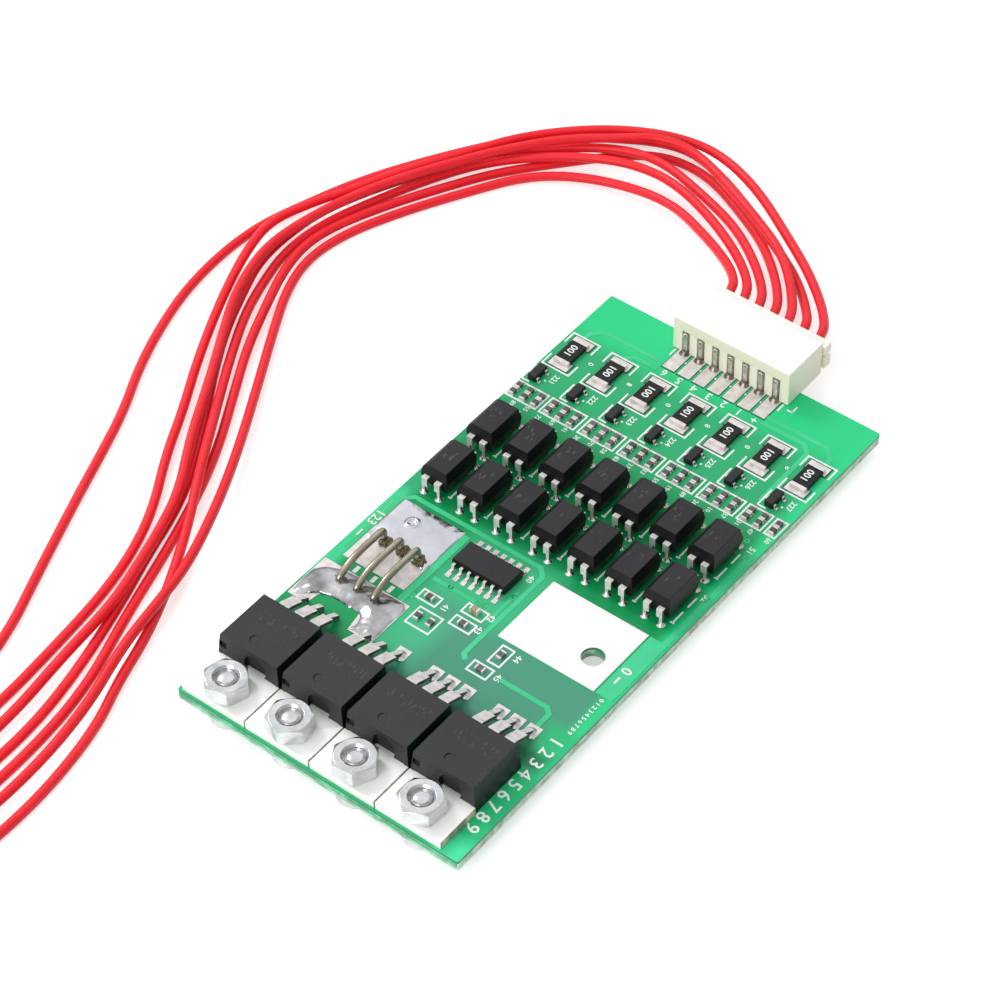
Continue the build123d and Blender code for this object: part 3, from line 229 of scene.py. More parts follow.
def axis(tree, vector, number):
    """One of a vector's three values."""
    return add_node(tree, "ShaderNodeSeparateXYZ", {0: vector}).outputs[number]


def own_place(tree):
    """The piece's own coordinates."""
    return add_node(tree, "ShaderNodeTexCoord").outputs["Object"]


SOCKET_KINDS = {1: "NodeSocketFloat", 3: "NodeSocketVector", 4: "NodeSocketColor"}


def new_group(name, inputs):
    """A shader node group with its inputs and their defaults, and the node inside it that gives them."""
    group = bpy.data.node_groups.new(name, "ShaderNodeTree")
    for label, default in inputs.items():
        kind = SOCKET_KINDS[len(default) if isinstance(default, tuple) else 1]
        socket = group.interface.new_socket(name=label, in_out="INPUT", socket_type=kind)
        socket.default_value = default
    return group, group.nodes.new("NodeGroupInput")


def hand_out(group, results):
    """The group with a named output for each socket inside it."""
    for label, source in results.items():
        kind = SOCKET_KINDS[4 if source.type == "RGBA" else 1]
        group.interface.new_socket(name=label, in_out="OUTPUT", socket_type=kind)
    end = group.nodes.new("NodeGroupOutput")
    for label, source in results.items():
        group.links.new(source, end.inputs[label])
    return group


def spread_spot(group, given):
    """The piece's own coordinates in a group, stretched by its Stretch input."""
    return add_node(group, "ShaderNodeVectorMath", {0: own_place(group), 1: given.outputs["Stretch"]},
                    operation="MULTIPLY").outputs[0]


def mottle_group():
    """Two tones in soft patches."""
    group, given = new_group("Mottle", {
        "Scale": 100.0, "Detail": 4.0, "Stretch": (1.0, 1.0, 1.0), "Sharpness": 2.0,
        "Low": (0.2, 0.2, 0.2, 1.0), "High": (0.8, 0.8, 0.8, 1.0),
    })
    patches = add_node(group, "ShaderNodeTexNoise",
                       {"Vector": spread_spot(group, given), "Scale": given.outputs["Scale"],
                        "Detail": given.outputs["Detail"], "Roughness": 0.6})
    centred = maths(group, "SUBTRACT", patches.outputs["Fac"], 0.5)
    raised = maths(group, "MULTIPLY", centred, given.outputs["Sharpness"])
    mask = maths(group, "ADD", raised, 0.5, clamp=True)
    colour = mixed(group, mask, given.outputs["Low"], given.outputs["High"])
    return hand_out(group, {"Color": colour, "Mask": mask})


def specks_group():
    """Small separate specks, such as pits, dust or the strokes of a faint mark."""
    group, given = new_group("Specks", {"Scale": 600.0, "Size": 0.2, "Stretch": (1.0, 1.0, 1.0)})
    cells = add_node(group, "ShaderNodeTexVoronoi",
                     {"Vector": spread_spot(group, given), "Scale": given.outputs["Scale"]})
    near = maths(group, "SUBTRACT", given.outputs["Size"], cells.outputs["Distance"])
    return hand_out(group, {"Mask": maths(group, "MULTIPLY", near, 12.0, clamp=True)})


def scratches_group():
    """Long fine scratches along one direction, with some patches left clean."""
    group, given = new_group("Scratches", {"Stretch": (1.0, 0.06, 1.0)})
    lines = add_node(group, "ShaderNodeTexNoise",
                     {"Vector": spread_spot(group, given), "Scale": 400.0, "Detail": 3.0, "Roughness": 0.7})
    patches = add_node(group, "ShaderNodeTexNoise",
                       {"Vector": own_place(group), "Scale": 180.0, "Detail": 2.0})
    return hand_out(group, {"Mask": maths(group, "MULTIPLY", lines.outputs["Fac"], patches.outputs["Fac"])})


def area_group():
    """A soft-edged upright box, repeated along X where it has a pitch, as a mask."""
    group, given = new_group("Area", {
        "Middle": (0.0, 0.0, 0.0), "Half Size": (0.01, 0.01, 0.01), "Softness": 0.0002, "Pitch": 10.0,
    })
    away = add_node(group, "ShaderNodeVectorMath", {0: own_place(group), 1: given.outputs["Middle"]},
                    operation="SUBTRACT").outputs[0]
    half_pitch = maths(group, "MULTIPLY", given.outputs["Pitch"], 0.5)
    low = maths(group, "MULTIPLY", half_pitch, -1.0)
    folded = maths(group, "WRAP", axis(group, away, 0), half_pitch, low)
    off_x = maths(group, "ABSOLUTE", folded)
    off_y = maths(group, "ABSOLUTE", axis(group, away, 1))
    inside_x = maths(group, "SUBTRACT", axis(group, given.outputs["Half Size"], 0), off_x)
    inside_y = maths(group, "SUBTRACT", axis(group, given.outputs["Half Size"], 1), off_y)
    nearest = maths(group, "MINIMUM", inside_x, inside_y)
    scaled = maths(group, "DIVIDE", nearest, given.outputs["Softness"])
    return hand_out(group, {"Mask": maths(group, "ADD", scaled, 0.5, clamp=True)})


GROUPS = {}
GROUP_MAKERS = {
    "Mottle": mottle_group, "Specks": specks_group, "Scratches": scratches_group, "Area": area_group,
}


def use_group(tree, name, inputs=None):
    """A copy of one shared effect, with its own values."""
    if name not in GROUPS:
        GROUPS[name] = GROUP_MAKERS[name]()
    return add_node(tree, "ShaderNodeGroup", inputs, node_tree=GROUPS[name])


def new_material(name, **sockets):
    """A material with its shader's constant sockets set."""
    material = bpy.data.materials.new(name)
    material.use_nodes = True
    tree = material.node_tree
    shader = tree.nodes["Principled BSDF"]
    for label, value in sockets.items():
        shader.inputs[label.replace("_", " ")].default_value = value
    return material, tree, shader


def bump(tree, shader, height, distance):
    """Feed a height into the shader's normal."""
    made = add_node(tree, "ShaderNodeBump", {"Height": height, "Distance": distance, "Strength": 1.0})
    tree.links.new(made.outputs["Normal"], shader.inputs["Normal"])


def area_mask(tree, x, y, half_x, half_y, softness, strength=1.0, pitch=10000.0):
    """A soft box on the board as a mask, in millimetres."""
    area = use_group(tree, "Area", {"Middle": place(x, y, 0), "Half Size": (half_x * MM, half_y * MM, 1.0),
                                    "Softness": softness * MM, "Pitch": pitch * MM})
    return maths(tree, "MULTIPLY", area.outputs["Mask"], strength)


EVEN = (1.0, 1.0, 1.0)
SCRATCH_DEPTH = 0.00001
WORN_MARK = (0.5, 0.48, 0.46)
# Painted shade inside the power transistors' front recess
PAINTED_RECESS_SHADE = (0.1, 0.1, 0.105)


def metal(name, low, high, rough_low, rough_high, scale=220.0, stretch=(1.0, 0.08, 1.0), sides=None,
          metallic=1.0):
    """A metal with scratches, patches of two tones and uneven gloss, and a duller streaked cut on its right
    side, darkened as painted shade.
    """
    material, tree, shader = new_material(name, Metallic=metallic)
    patches = use_group(tree, "Mottle", {"Scale": scale, "Low": linear(low), "High": linear(high),
                                         "Sharpness": 1.6})
    colour = patches.outputs["Color"]
    scratches = use_group(tree, "Scratches", {"Stretch": stretch}).outputs["Mask"]
    spread = maths(tree, "MULTIPLY", scratches, 2.0, clamp=True)
    rough = maths(tree, "ADD", maths(tree, "MULTIPLY", spread, rough_high - rough_low), rough_low)
    if sides:
        # Painted shade: faces towards the right take the darker, streaked colour given as sides.
        cut = maths(tree, "GREATER_THAN", across(tree), 0.5)
        dull_side_shade = tuple(c * 0.7 for c in sides)
        streaks_and_side_shade = use_group(tree, "Mottle", {"Scale": 900.0, "Stretch": (1.0, 1.0, 0.15), "Sharpness": 4.0,
                                             "Low": linear(dull_side_shade), "High": linear(sides)})
        colour = mixed(tree, cut, colour, streaks_and_side_shade.outputs["Color"])
        rough = maths(tree, "ADD", rough, maths(tree, "MULTIPLY", cut, 0.25), clamp=True)
    tree.links.new(colour, shader.inputs["Base Color"])
    tree.links.new(rough, shader.inputs["Roughness"])
    bump(tree, shader, scratches, SCRATCH_DEPTH)
    return material


def moulded(name, low, high, rough_low, rough_high, grain=2500.0, depth=0.00002, marks=(), sides=None,
            recess=None, right=None, scale=130.0, **sockets):
    """A moulded surface with fine grain and faint patches, and on some parts worn marks, sides in another
    tone as painted light and shade, a right side tinted as painted reflection and shade, and a recess
    darkened as painted shade.
    """
    material, tree, shader = new_material(name, **sockets)
    patches = use_group(tree, "Mottle", {"Scale": scale, "Low": linear(low), "High": linear(high)})
    colour = patches.outputs["Color"]
    for area in marks:
        specks = use_group(tree, "Specks", {"Scale": 2300.0, "Size": 0.34, "Stretch": (1.0, 0.35, 1.0)})
        shown = maths(tree, "MULTIPLY", specks.outputs["Mask"], area_mask(tree, *area))
        colour = mixed(tree, maths(tree, "MULTIPLY", shown, up_mask(tree)), colour, linear(WORN_MARK))
    if sides:
        # Painted light and shade: faces that do not face straight up take the colour given as sides.
        colour = mixed(tree, maths(tree, "LESS_THAN", upright(tree), 0.9), colour, linear(sides))
    if right:
        # Painted reflection and shade: faces towards the right take the colour given as right.
        colour = mixed(tree, maths(tree, "GREATER_THAN", across(tree), 0.5), colour, linear(right))
    if recess:
        # Painted shade: the front recess is darkened on upright faces.
        sunk = maths(tree, "MULTIPLY", area_mask(tree, *recess), side_mask(tree))
        colour = mixed(tree, sunk, colour, linear(PAINTED_RECESS_SHADE))
    tree.links.new(colour, shader.inputs["Base Color"])
    fine = use_group(tree, "Mottle", {"Scale": grain, "Detail": 2.0}).outputs["Mask"]
    span = maths(tree, "MULTIPLY", fine, rough_high - rough_low)
    tree.links.new(maths(tree, "ADD", span, rough_low), shader.inputs["Roughness"])
    bump(tree, shader, fine, depth)
    return material


def upright(tree):
    """How far the surface faces up or down."""
    return axis(tree, add_node(tree, "ShaderNodeNewGeometry").outputs["Normal"], 2)


def across(tree):
    """How far the surface faces the board's right side."""
    return axis(tree, add_node(tree, "ShaderNodeNewGeometry").outputs["Normal"], 0)


def side_mask(tree):
    """Where the surface stands upright."""
    return maths(tree, "LESS_THAN", maths(tree, "ABSOLUTE", upright(tree)), 0.5)


def up_mask(tree):
    """Where the surface faces up."""
    return maths(tree, "GREATER_THAN", upright(tree), 0.9)


# Tones of the lacquer, its own over copper in some areas and painted light in others: painted shade among the
# optocouplers, painted sheen and a painted shadow under the power transistors' leads. Middle, half size,
# softness and strength of each area, and its colour
LACQUER_TONES_AND_PAINTED_LIGHT = (
    ((0.0, 29.0, 40.0, 9.5, 5.0, 0.85), (0.16, 0.66, 0.43)),
    ((0.0, 42.5, 40.0, 6.0, 4.0, 1.0), (0.13, 0.79, 0.51)),
    # Painted shade among the optocouplers
    ((0.0, 8.0, 21.0, 11.0, 3.0, 0.9), (0.01, 0.55, 0.30)),
    ((-2.0, -9.0, 7.0, 8.0, 4.0, 0.8), (0.24, 0.72, 0.51)),
    # Painted sheen, greyish as a reflection
    ((8.0, -21.0, 14.0, 7.5, 4.0, 1.0), (0.28, 0.58, 0.47)),
    ((-5.5, -21.5, 3.5, 5.0, 3.0, 0.7), (0.25, 0.74, 0.53)),
    ((21.9, 5.0, 1.1, 60.0, 1.6, 0.9), (0.15, 0.80, 0.52)),
    ((-21.9, -6.0, 1.4, 15.0, 1.5, 0.9), (0.24, 0.80, 0.55)),
    ((0.0, -46.5, 40.0, 2.6, 1.5, 0.9), (0.13, 0.74, 0.47)),
    ((20.6, -34.0, 2.4, 13.0, 2.0, 0.9), (0.14, 0.72, 0.46)),
    ((20.8, -44.8, 2.4, 2.4, 2.4, 0.9), (0.28, 0.88, 0.64)),
    ((-21.9, 8.0, 1.4, 9.0, 1.6, 0.7), (0.12, 0.60, 0.40)),
    # Painted shadow under the power transistors' leads
    ((0.0, -27.6, 21.5, 1.5, 1.6, 0.6), (0.03, 0.30, 0.20)),
)


EDGE_RIM = 0.00035
EDGE_LOW = 0.0011
FLUX_STAIN = (-20.3, -6.6, 1.1, 2.6, 1.4)


def board_lacquer():
    """Green lacquer in several tones over copper and laminate, with painted sheen, painted shade and a
    painted shadow in some areas, a sawn edge whose faces towards the right are paled as painted light, and a
    flux stain.
    """
    material, tree, shader = new_material("board_lacquer", Specular_IOR_Level=0.28)
    green = tuple(bpy.context.scene.battery_board.lacquer)
    dark_green = tuple(c * 0.88 for c in green)
    patches = use_group(tree, "Mottle", {"Scale": 70.0, "Low": linear(dark_green), "High": linear(green)})
    colour = patches.outputs["Color"]
    for area, shade in LACQUER_TONES_AND_PAINTED_LIGHT:
        colour = mixed(tree, area_mask(tree, *area), colour, linear(shade))
    cloud = use_group(tree, "Mottle", {"Scale": 500.0, "Sharpness": 3.0})
    stain = maths(tree, "MULTIPLY", area_mask(tree, *FLUX_STAIN), cloud.outputs["Mask"])
    colour = mixed(tree, stain, colour, linear((0.62, 0.64, 0.3)))
    below = maths(tree, "SUBTRACT", BOARD_TOP * MM, axis(tree, own_place(tree), 2))
    rim = maths(tree, "LESS_THAN", below, EDGE_RIM)
    sawn = use_group(tree, "Mottle", {"Scale": 500.0, "Sharpness": 5.0, "Low": linear((0.26, 0.62, 0.45)),
                                      "High": linear((0.42, 0.82, 0.62))})
    # The pale bare laminate of the lower edge, also used as painted light on the edge faces towards the right
    bare = use_group(tree, "Mottle", {"Scale": 700.0, "Sharpness": 4.0, "Low": linear((0.62, 0.68, 0.58)),
                                      "High": linear((0.8, 0.96, 0.86))})
    low_edge = maths(tree, "GREATER_THAN", below, EDGE_LOW)
    # Painted light: edge faces towards the right are paled to the bare tone, as the lamps leave them dim.
    right_edge_painted_light = maths(tree, "GREATER_THAN", across(tree), 0.5)
    bare_edge_and_painted_light = maths(tree, "MAXIMUM", maths(tree, "MULTIPLY", low_edge, 0.7), right_edge_painted_light)
    cut = mixed(tree, bare_edge_and_painted_light, sawn.outputs["Color"], bare.outputs["Color"])
    edge = mixed(tree, rim, cut, linear((0.10, 0.50, 0.33)))
    tree.links.new(mixed(tree, side_mask(tree), colour, edge), shader.inputs["Base Color"])
    fine = use_group(tree, "Mottle", {"Scale": 900.0, "Detail": 2.0}).outputs["Mask"]
    rough = maths(tree, "ADD", maths(tree, "MULTIPLY", fine, 0.1), 0.3)
    tree.links.new(rough, shader.inputs["Roughness"])
    bump(tree, shader, fine, 0.000006)
    return material


OPTO_MARKS = tuple((OPTO_X[0] - 0.1, y + 0.2, 0.95, 1.1, 0.5, 0.24, OPTO_PITCH) for y in OPTO_ROWS)
POWER_MARKS = ((POWER_X[0] + 0.6, -32.5, 3.2, 0.8, 0.6, 0.15, POWER_PITCH),)
# Where the power transistors' front recess is darkened as painted shade
POWER_RECESS_SHADE = (POWER_X[0] + 1.1, -37.7, 1.9, 0.42, 0.05, 0.85, POWER_PITCH)
FINISHES = {}

# Metals: two tones, least and most roughness, and what else they have
METALS = {
    "load_pad": ((0.95, 0.94, 0.94), (0.99, 0.99, 0.99), 0.35, 0.55, {"metallic": 0.3}),
    "tinned_pad": ((0.76, 0.73, 0.73), (0.97, 0.95, 0.94), 0.28, 0.5, {"scale": 1000.0, "metallic": 0.45}),
    "solder": ((0.74, 0.74, 0.77), (0.92, 0.92, 0.95), 0.12, 0.3, {"stretch": EVEN}),
    # Dark patches in this solder are partly stains and partly painted dark reflections.
    "stained_solder": ((0.26, 0.25, 0.25), (0.9, 0.9, 0.92), 0.1, 0.28, {"scale": 260.0, "stretch": EVEN}),
    "bright_solder": ((0.8, 0.8, 0.8), (0.95, 0.95, 0.94), 0.15, 0.3, {"scale": 1500.0, "stretch": EVEN}),
    "dull_solder": ((0.2, 0.18, 0.15), (0.72, 0.69, 0.64), 0.25, 0.5, {"scale": 1400.0, "stretch": EVEN}),
    "bare_wire": ((0.5, 0.46, 0.4), (0.8, 0.77, 0.7), 0.15, 0.35, {}),
    # The sides colours of tab_metal and lead_metal are painted shade on faces towards the right; on the tabs
    # it lies over the streaked sheared cut.
    "tab_metal": ((0.96, 0.96, 0.95), (0.99, 0.99, 0.98), 0.4, 0.6,
                  {"sides": (0.85, 0.84, 0.76), "metallic": 0.25}),
    "lead_metal": ((0.74, 0.72, 0.71), (0.99, 0.98, 0.97), 0.3, 0.5,
                   {"scale": 1300.0, "sides": (0.42, 0.42, 0.4), "metallic": 0.2}),
    "zinc_steel": ((0.72, 0.73, 0.74), (0.93, 0.94, 0.94), 0.14, 0.3, {"scale": 500.0}),
    # This thread metal is darker than the zinc as painted shade in the nuts' bores.
    "thread_metal": ((0.5, 0.5, 0.52), (0.8, 0.81, 0.83), 0.2, 0.4, {"scale": 1500.0, "metallic": 0.6}),
    "contact_metal": ((0.62, 0.6, 0.56), (0.93, 0.92, 0.9), 0.2, 0.4, {"scale": 1500.0, "metallic": 0.6}),
}

# Moulded, printed and lacquered surfaces: low tone, or its share of the high one; high tone, or the setting
# that gives it; least and most roughness; and what else they have
MOULDINGS = {
    "track_lacquer": ((0.20, 0.73, 0.49), (0.28, 0.81, 0.58), 0.25, 0.36,
                      {"depth": 0.000006, "Specular_IOR_Level": 0.3}),
    "white_print": ((0.86, 0.9, 0.88), (0.97, 0.98, 0.97), 0.4, 0.6, {"depth": 0.000008}),
    "lacquer_gap": ((0.05, 0.33, 0.22), (0.08, 0.42, 0.28), 0.3, 0.45, {"Specular_IOR_Level": 0.25}),
    "burnt_flux": ((0.1, 0.08, 0.06), (0.52, 0.5, 0.3), 0.15, 0.4,
                   {"grain": 1600.0, "depth": 0.0001, "scale": 1400.0}),
    # black_epoxy: right is a dark green painted reflection of the board with painted shade.
    "black_epoxy": (0.9, "moulding", 0.42, 0.58,
                    {"marks": POWER_MARKS, "recess": POWER_RECESS_SHADE, "right": (0.03, 0.1, 0.085),
                     "Specular_IOR_Level": 0.3}),
    # opto_epoxy: its sides are darker than its top as painted shade.
    "opto_epoxy": ((0.15, 0.15, 0.16), (0.18, 0.18, 0.19), 0.42, 0.58,
                   {"marks": OPTO_MARKS, "sides": (0.07, 0.07, 0.075), "Specular_IOR_Level": 0.25}),
    "resistor_glaze": ((0.06, 0.055, 0.055), (0.11, 0.1, 0.1), 0.3, 0.45, {"Specular_IOR_Level": 0.3}),
    "chip_glaze": ((0.2, 0.19, 0.19), (0.42, 0.4, 0.4), 0.3, 0.45, {"grain": 1500.0}),
    "capacitor_body": ((0.6, 0.5, 0.38), (0.72, 0.63, 0.5), 0.4, 0.55, {}),
    # connector_nylon: its sides are a warmer, slightly darker cream than its top, as painted light through
    # the nylon and painted shade.
    "connector_nylon": ((0.95, 0.945, 0.92), "nylon", 0.35, 0.5,
                        {"grain": 1200.0, "sides": (1.0, 0.975, 0.9)}),
    "lead_insulation": ((0.9, 0.09, 0.15), "insulation", 0.32, 0.45,
                        {"grain": 1500.0, "depth": 0.00001, "Specular_IOR_Level": 0.35}),
}


def finish_of(name):
    """The material of one finish, made the first time it is asked for."""
    if name not in FINISHES:
        if name == "board_lacquer":
            FINISHES[name] = board_lacquer()
        elif name in METALS:
            *tones, more = METALS[name]
            FINISHES[name] = metal(name, *tones, **more)
        else:
            low, high, rough_low, rough_high, more = MOULDINGS[name]
            if isinstance(high, str):
                high = tuple(getattr(bpy.context.scene.battery_board, high))
            if isinstance(low, float):
                low = tuple(c * low for c in high)
            FINISHES[name] = moulded(name, low, high, rough_low, rough_high, **more)
    return FINISHES[name]


# Meshes


def piece_of(name, data, finish, nodes):
    """An object with its finish, which rides on the board and replaces CAD nodes."""
    data.materials.append(finish_of(finish))
    piece = placed(name, data)
    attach(piece, "root")
    if nodes:
        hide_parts(*nodes)
    return piece


def finished(shape, name, finish, *nodes, sharp=28.0):
    """Turn a bmesh into a piece."""
    mesh = bpy.data.meshes.new(name)
    shape.to_mesh(mesh)
    shape.free()
    for face in mesh.polygons:
        face.use_smooth = True
    mesh.set_sharp_from_angle(angle=math.radians(sharp))
    return piece_of(name, mesh, finish, nodes)


def merged_copy(node):
    """A CAD node's mesh with its loose triangles joined and its flat faces whole."""
    shape = bmesh.new()
    shape.from_mesh(NODES[node].data)
    bmesh.ops.remove_doubles(shape, verts=shape.verts, dist=0.000002)
    bmesh.ops.dissolve_limit(shape, angle_limit=math.radians(1.0), verts=shape.verts, edges=shape.edges,
                             use_dissolve_boundaries=False)
    return shape


def round_edges(piece, width, angle=25.0):
    """Round a piece's edges by a bevel in metres."""
    bevel = piece.modifiers.new("Rounded edges", "BEVEL")
    bevel.width = width
    bevel.segments = 2
    bevel.limit_method = "ANGLE"
    bevel.angle_limit = math.radians(angle)
    bevel.harden_normals = True
    bevel.miter_outer = "MITER_ARC"


def softened(node, finish, width):
    """A CAD node's shape with rounded edges, as the piece that replaces it."""
    round_edges(finished(merged_copy(node), f"{node}_visual", finish, node), width)


def dress(node, finish):
    """Give a CAD node that stays its material."""
    target = NODES[node]
    target.data.materials.clear()
    target.data.materials.append(finish_of(finish))


def turned(profile, segments=32, closed=False):
    """A round shape: points of radius and height, in millimetres, turned about an upright axis."""
    shape = bmesh.new()
    verts = [shape.verts.new((radius, 0.0, height)) for radius, height in profile]
    pairs = list(zip(verts, verts[1:]))
    if closed:
        pairs.append((verts[-1], verts[0]))
    edges = [shape.edges.new(pair) for pair in pairs]
    bmesh.ops.spin(shape, geom=verts + edges, cent=(0, 0, 0), axis=(0, 0, 1), angle=2 * math.pi,
                   steps=segments, use_merge=True)
    bmesh.ops.remove_doubles(shape, verts=shape.verts, dist=0.0001)
    bmesh.ops.recalc_face_normals(shape, faces=shape.faces)
    return shape


def add_copy(whole, pattern, move):
    """Add a moved copy of a mesh to a bmesh."""
    start = len(whole.verts)
    whole.from_mesh(pattern)
    whole.verts.ensure_lookup_table()
    bmesh.ops.transform(whole, matrix=move, verts=whole.verts[start:])


def repeated(shape, spots):
    """One bmesh with a copy of a shape at each spot: X, Y and Z on the board, and a turn."""
    pattern = bpy.data.meshes.new("pattern")
    shape.to_mesh(pattern)
    shape.free()
    whole = bmesh.new()
    for spot in spots:
        add_copy(whole, pattern, placing(*spot))
    bpy.data.meshes.remove(pattern)
    return whole


def add_bars(shape, bars, height):
    """Add flat bars that stand on the board to a bmesh: X, Y, width and length of each."""
    for x, y, width, length in bars:
        size = Matrix.Diagonal((width, length, height, 1.0))
        bmesh.ops.create_cube(shape, size=1.0, matrix=placing(x, y, height / 2) @ size)


def only(kind, items):
    """The vertices or the edges among what a bmesh operation gives."""
    return [item for item in items if isinstance(item, kind)]


def inside_distance(x, y, corners):
    """How deep a point lies inside an outline, in millimetres; below zero outside."""
    nearest = 1000.0
    inside = False
    for (x1, y1), (x2, y2) in zip(corners, corners[1:] + corners[:1]):
        run_x = x2 - x1
        run_y = y2 - y1
        share = ((x - x1) * run_x + (y - y1) * run_y) / (run_x ** 2 + run_y ** 2)
        share = min(max(share, 0.0), 1.0)
        nearest = min(nearest, math.hypot(x - x1 - share * run_x, y - y1 - share * run_y))
        if (y1 > y) != (y2 > y) and x < x1 + (y - y1) / run_y * run_x:
            inside = not inside
    return nearest if inside else -nearest


def flowed(x, y, depth, foot, swell, run, wave, spread, ripple, seed):
    """The height of flowed solder at some depth inside its outline, with random waves and ripples."""
    waves = noise.noise(Vector((x * spread, y * spread, seed)))
    ripples = noise.noise(Vector((x * 1.1, y * 1.1, seed + 2.0)))
    return foot + swell * (1.0 - math.exp(-depth / run)) + wave * waves + ripple * ripples


def relief(left, right, front, back, height_at):
    """A closed lump on the board from the height over each point of a fine grid."""
    shape = bmesh.new()
    bmesh.ops.create_grid(shape, x_segments=round((right - left) / RELIEF_STEP),
                          y_segments=round((back - front) / RELIEF_STEP), size=0.5)
    ground = place(0, 0, 0).z
    for vert in shape.verts:
        x = left + (vert.co.x + 0.5) * (right - left)
        y = front + (vert.co.y + 0.5) * (back - front)
        vert.co = place(x, y, max(height_at(x, y), 0.0))
    bare = [face for face in shape.faces if max(vert.co.z for vert in face.verts) < ground + 0.000001]
    bmesh.ops.delete(shape, geom=bare, context="FACES")
    bmesh.ops.holes_fill(shape, edges=[edge for edge in shape.edges if edge.is_boundary], sides=0)
    bmesh.ops.recalc_face_normals(shape, faces=shape.faces)
    return shape


def figures(words, height):
    """A mesh of raised figures, in millimetres, centred on its own origin."""
    text = bpy.data.curves.new("figures", "FONT")
    text.body = words
    text.align_x = "CENTER"
    text.align_y = "CENTER"
    text.size = height * FIGURE_SHARE
    text.extrude = PRINT_THICKNESS / 2
    text.offset = height * FIGURE_WEIGHT
    text.resolution_u = 2
    holder = placed("figures", text)
    bpy.context.view_layer.update()
    mesh = bpy.data.meshes.new_from_object(holder)
    bpy.data.objects.remove(holder)
    bpy.data.curves.remove(text)
    return mesh


def add_figures(whole, marks):
    """Add printed figures to a bmesh: words, X, Y, Z, turn and height of each."""
    for words, x, y, z, turn, height in marks:
        pattern = figures(words, height)
        add_copy(whole, pattern, placing(x, y, z, turn))
        bpy.data.meshes.remove(pattern)


def printed(marks, name):
    """One piece of white print from figures and bars."""
    bmesh.ops.remove_doubles(marks, verts=marks.verts, dist=0.0000001)
    finished(marks, name, "white_print")


def rounded_path(name, finish, lines, radius, rounding, node):
    """Round wires, each through its control points in millimetres on the board."""
    line = bpy.data.curves.new(name, "CURVE")
    line.dimensions = "3D"
    for points in lines:
        spline = line.splines.new("NURBS")
        spline.points.add(len(points) - 1)
        for point, spot in zip(spline.points, points):
            point.co = (*place(*spot), 1.0)
        spline.order_u = 3
        spline.use_endpoint_u = True
    line.resolution_u = 8
    line.bevel_depth = radius * MM
    line.bevel_resolution = rounding
    line.use_fill_caps = True
    return piece_of(name, line, finish, [node])


# Sizes and colours that a user would change


def colour_setting(label, what, colour):
    """A colour that a user picks."""
    return FloatVectorProperty(name=label, description=what, subtype="COLOR_GAMMA", size=3, min=0.0, max=1.0,
                               default=colour)


class BatteryBoardLook(bpy.types.PropertyGroup):
    """Sizes and colours of the board's pieces."""

    lacquer: colour_setting("Lacquer", "Colour of the green lacquer", (0.07, 0.64, 0.38))
    moulding: colour_setting("Moulding", "Colour of the power transistors' bodies", (0.2, 0.2, 0.21))
    nylon: colour_setting("Connector", "Colour of the header and plug", (0.99, 0.985, 0.965))
    insulation: colour_setting("Insulation", "Colour of the cell leads", (0.95, 0.14, 0.2))
    floor: colour_setting("Floor", "Colour of the floor and the backdrop", (0.86, 0.86, 0.86))
    edge: FloatProperty(
        name="Edge Rounding", description="Rounding of the moulded parts' edges", subtype="DISTANCE",
        unit="LENGTH", min=0.00001, max=0.0005, default=0.00012)
    lead_sides: IntProperty(
        name="Lead Sides", description="Sides of a cell lead's round section", min=6, max=32, default=14)


# Operators


class PieceOperator:
    """What the board's operators share."""

    bl_options = {"REGISTER", "UNDO"}
    rounded = ()

    def execute(self, context):
        self.build(context.scene.battery_board)
        return {"FINISHED"}

    def build(self, look):
        """Round the CAD shapes that the operator names, each by its own width in metres."""
        for node, finish, width in self.rounded:
            softened(node, finish, width)


class BOARD_OT_cell_leads(PieceOperator, bpy.types.Operator):
    """Lay the seven cell leads"""

    bl_idname = "battery_board.cell_leads"
    bl_label = "Cell Leads"

    def build(self, look):
        for number, (way, bends, length) in enumerate(zip(WAY_X, LEAD_ROUTES, LEAD_LENGTHS), start=1):
            route = ((way, LEAD_EXIT_Y, LEAD_EXIT_HEIGHT), (way, LEAD_STRAIGHT_Y, LEAD_EXIT_HEIGHT), *bends)
            on_board = [(x, y, height - BOARD_TOP) for x, y, height in route]
            lead = rounded_path(f"cell_lead_{number}_visual", "lead_insulation", [on_board],
                                LEAD_DIAMETER / 2, look.lead_sides // 4, f"cell_lead_{number}")


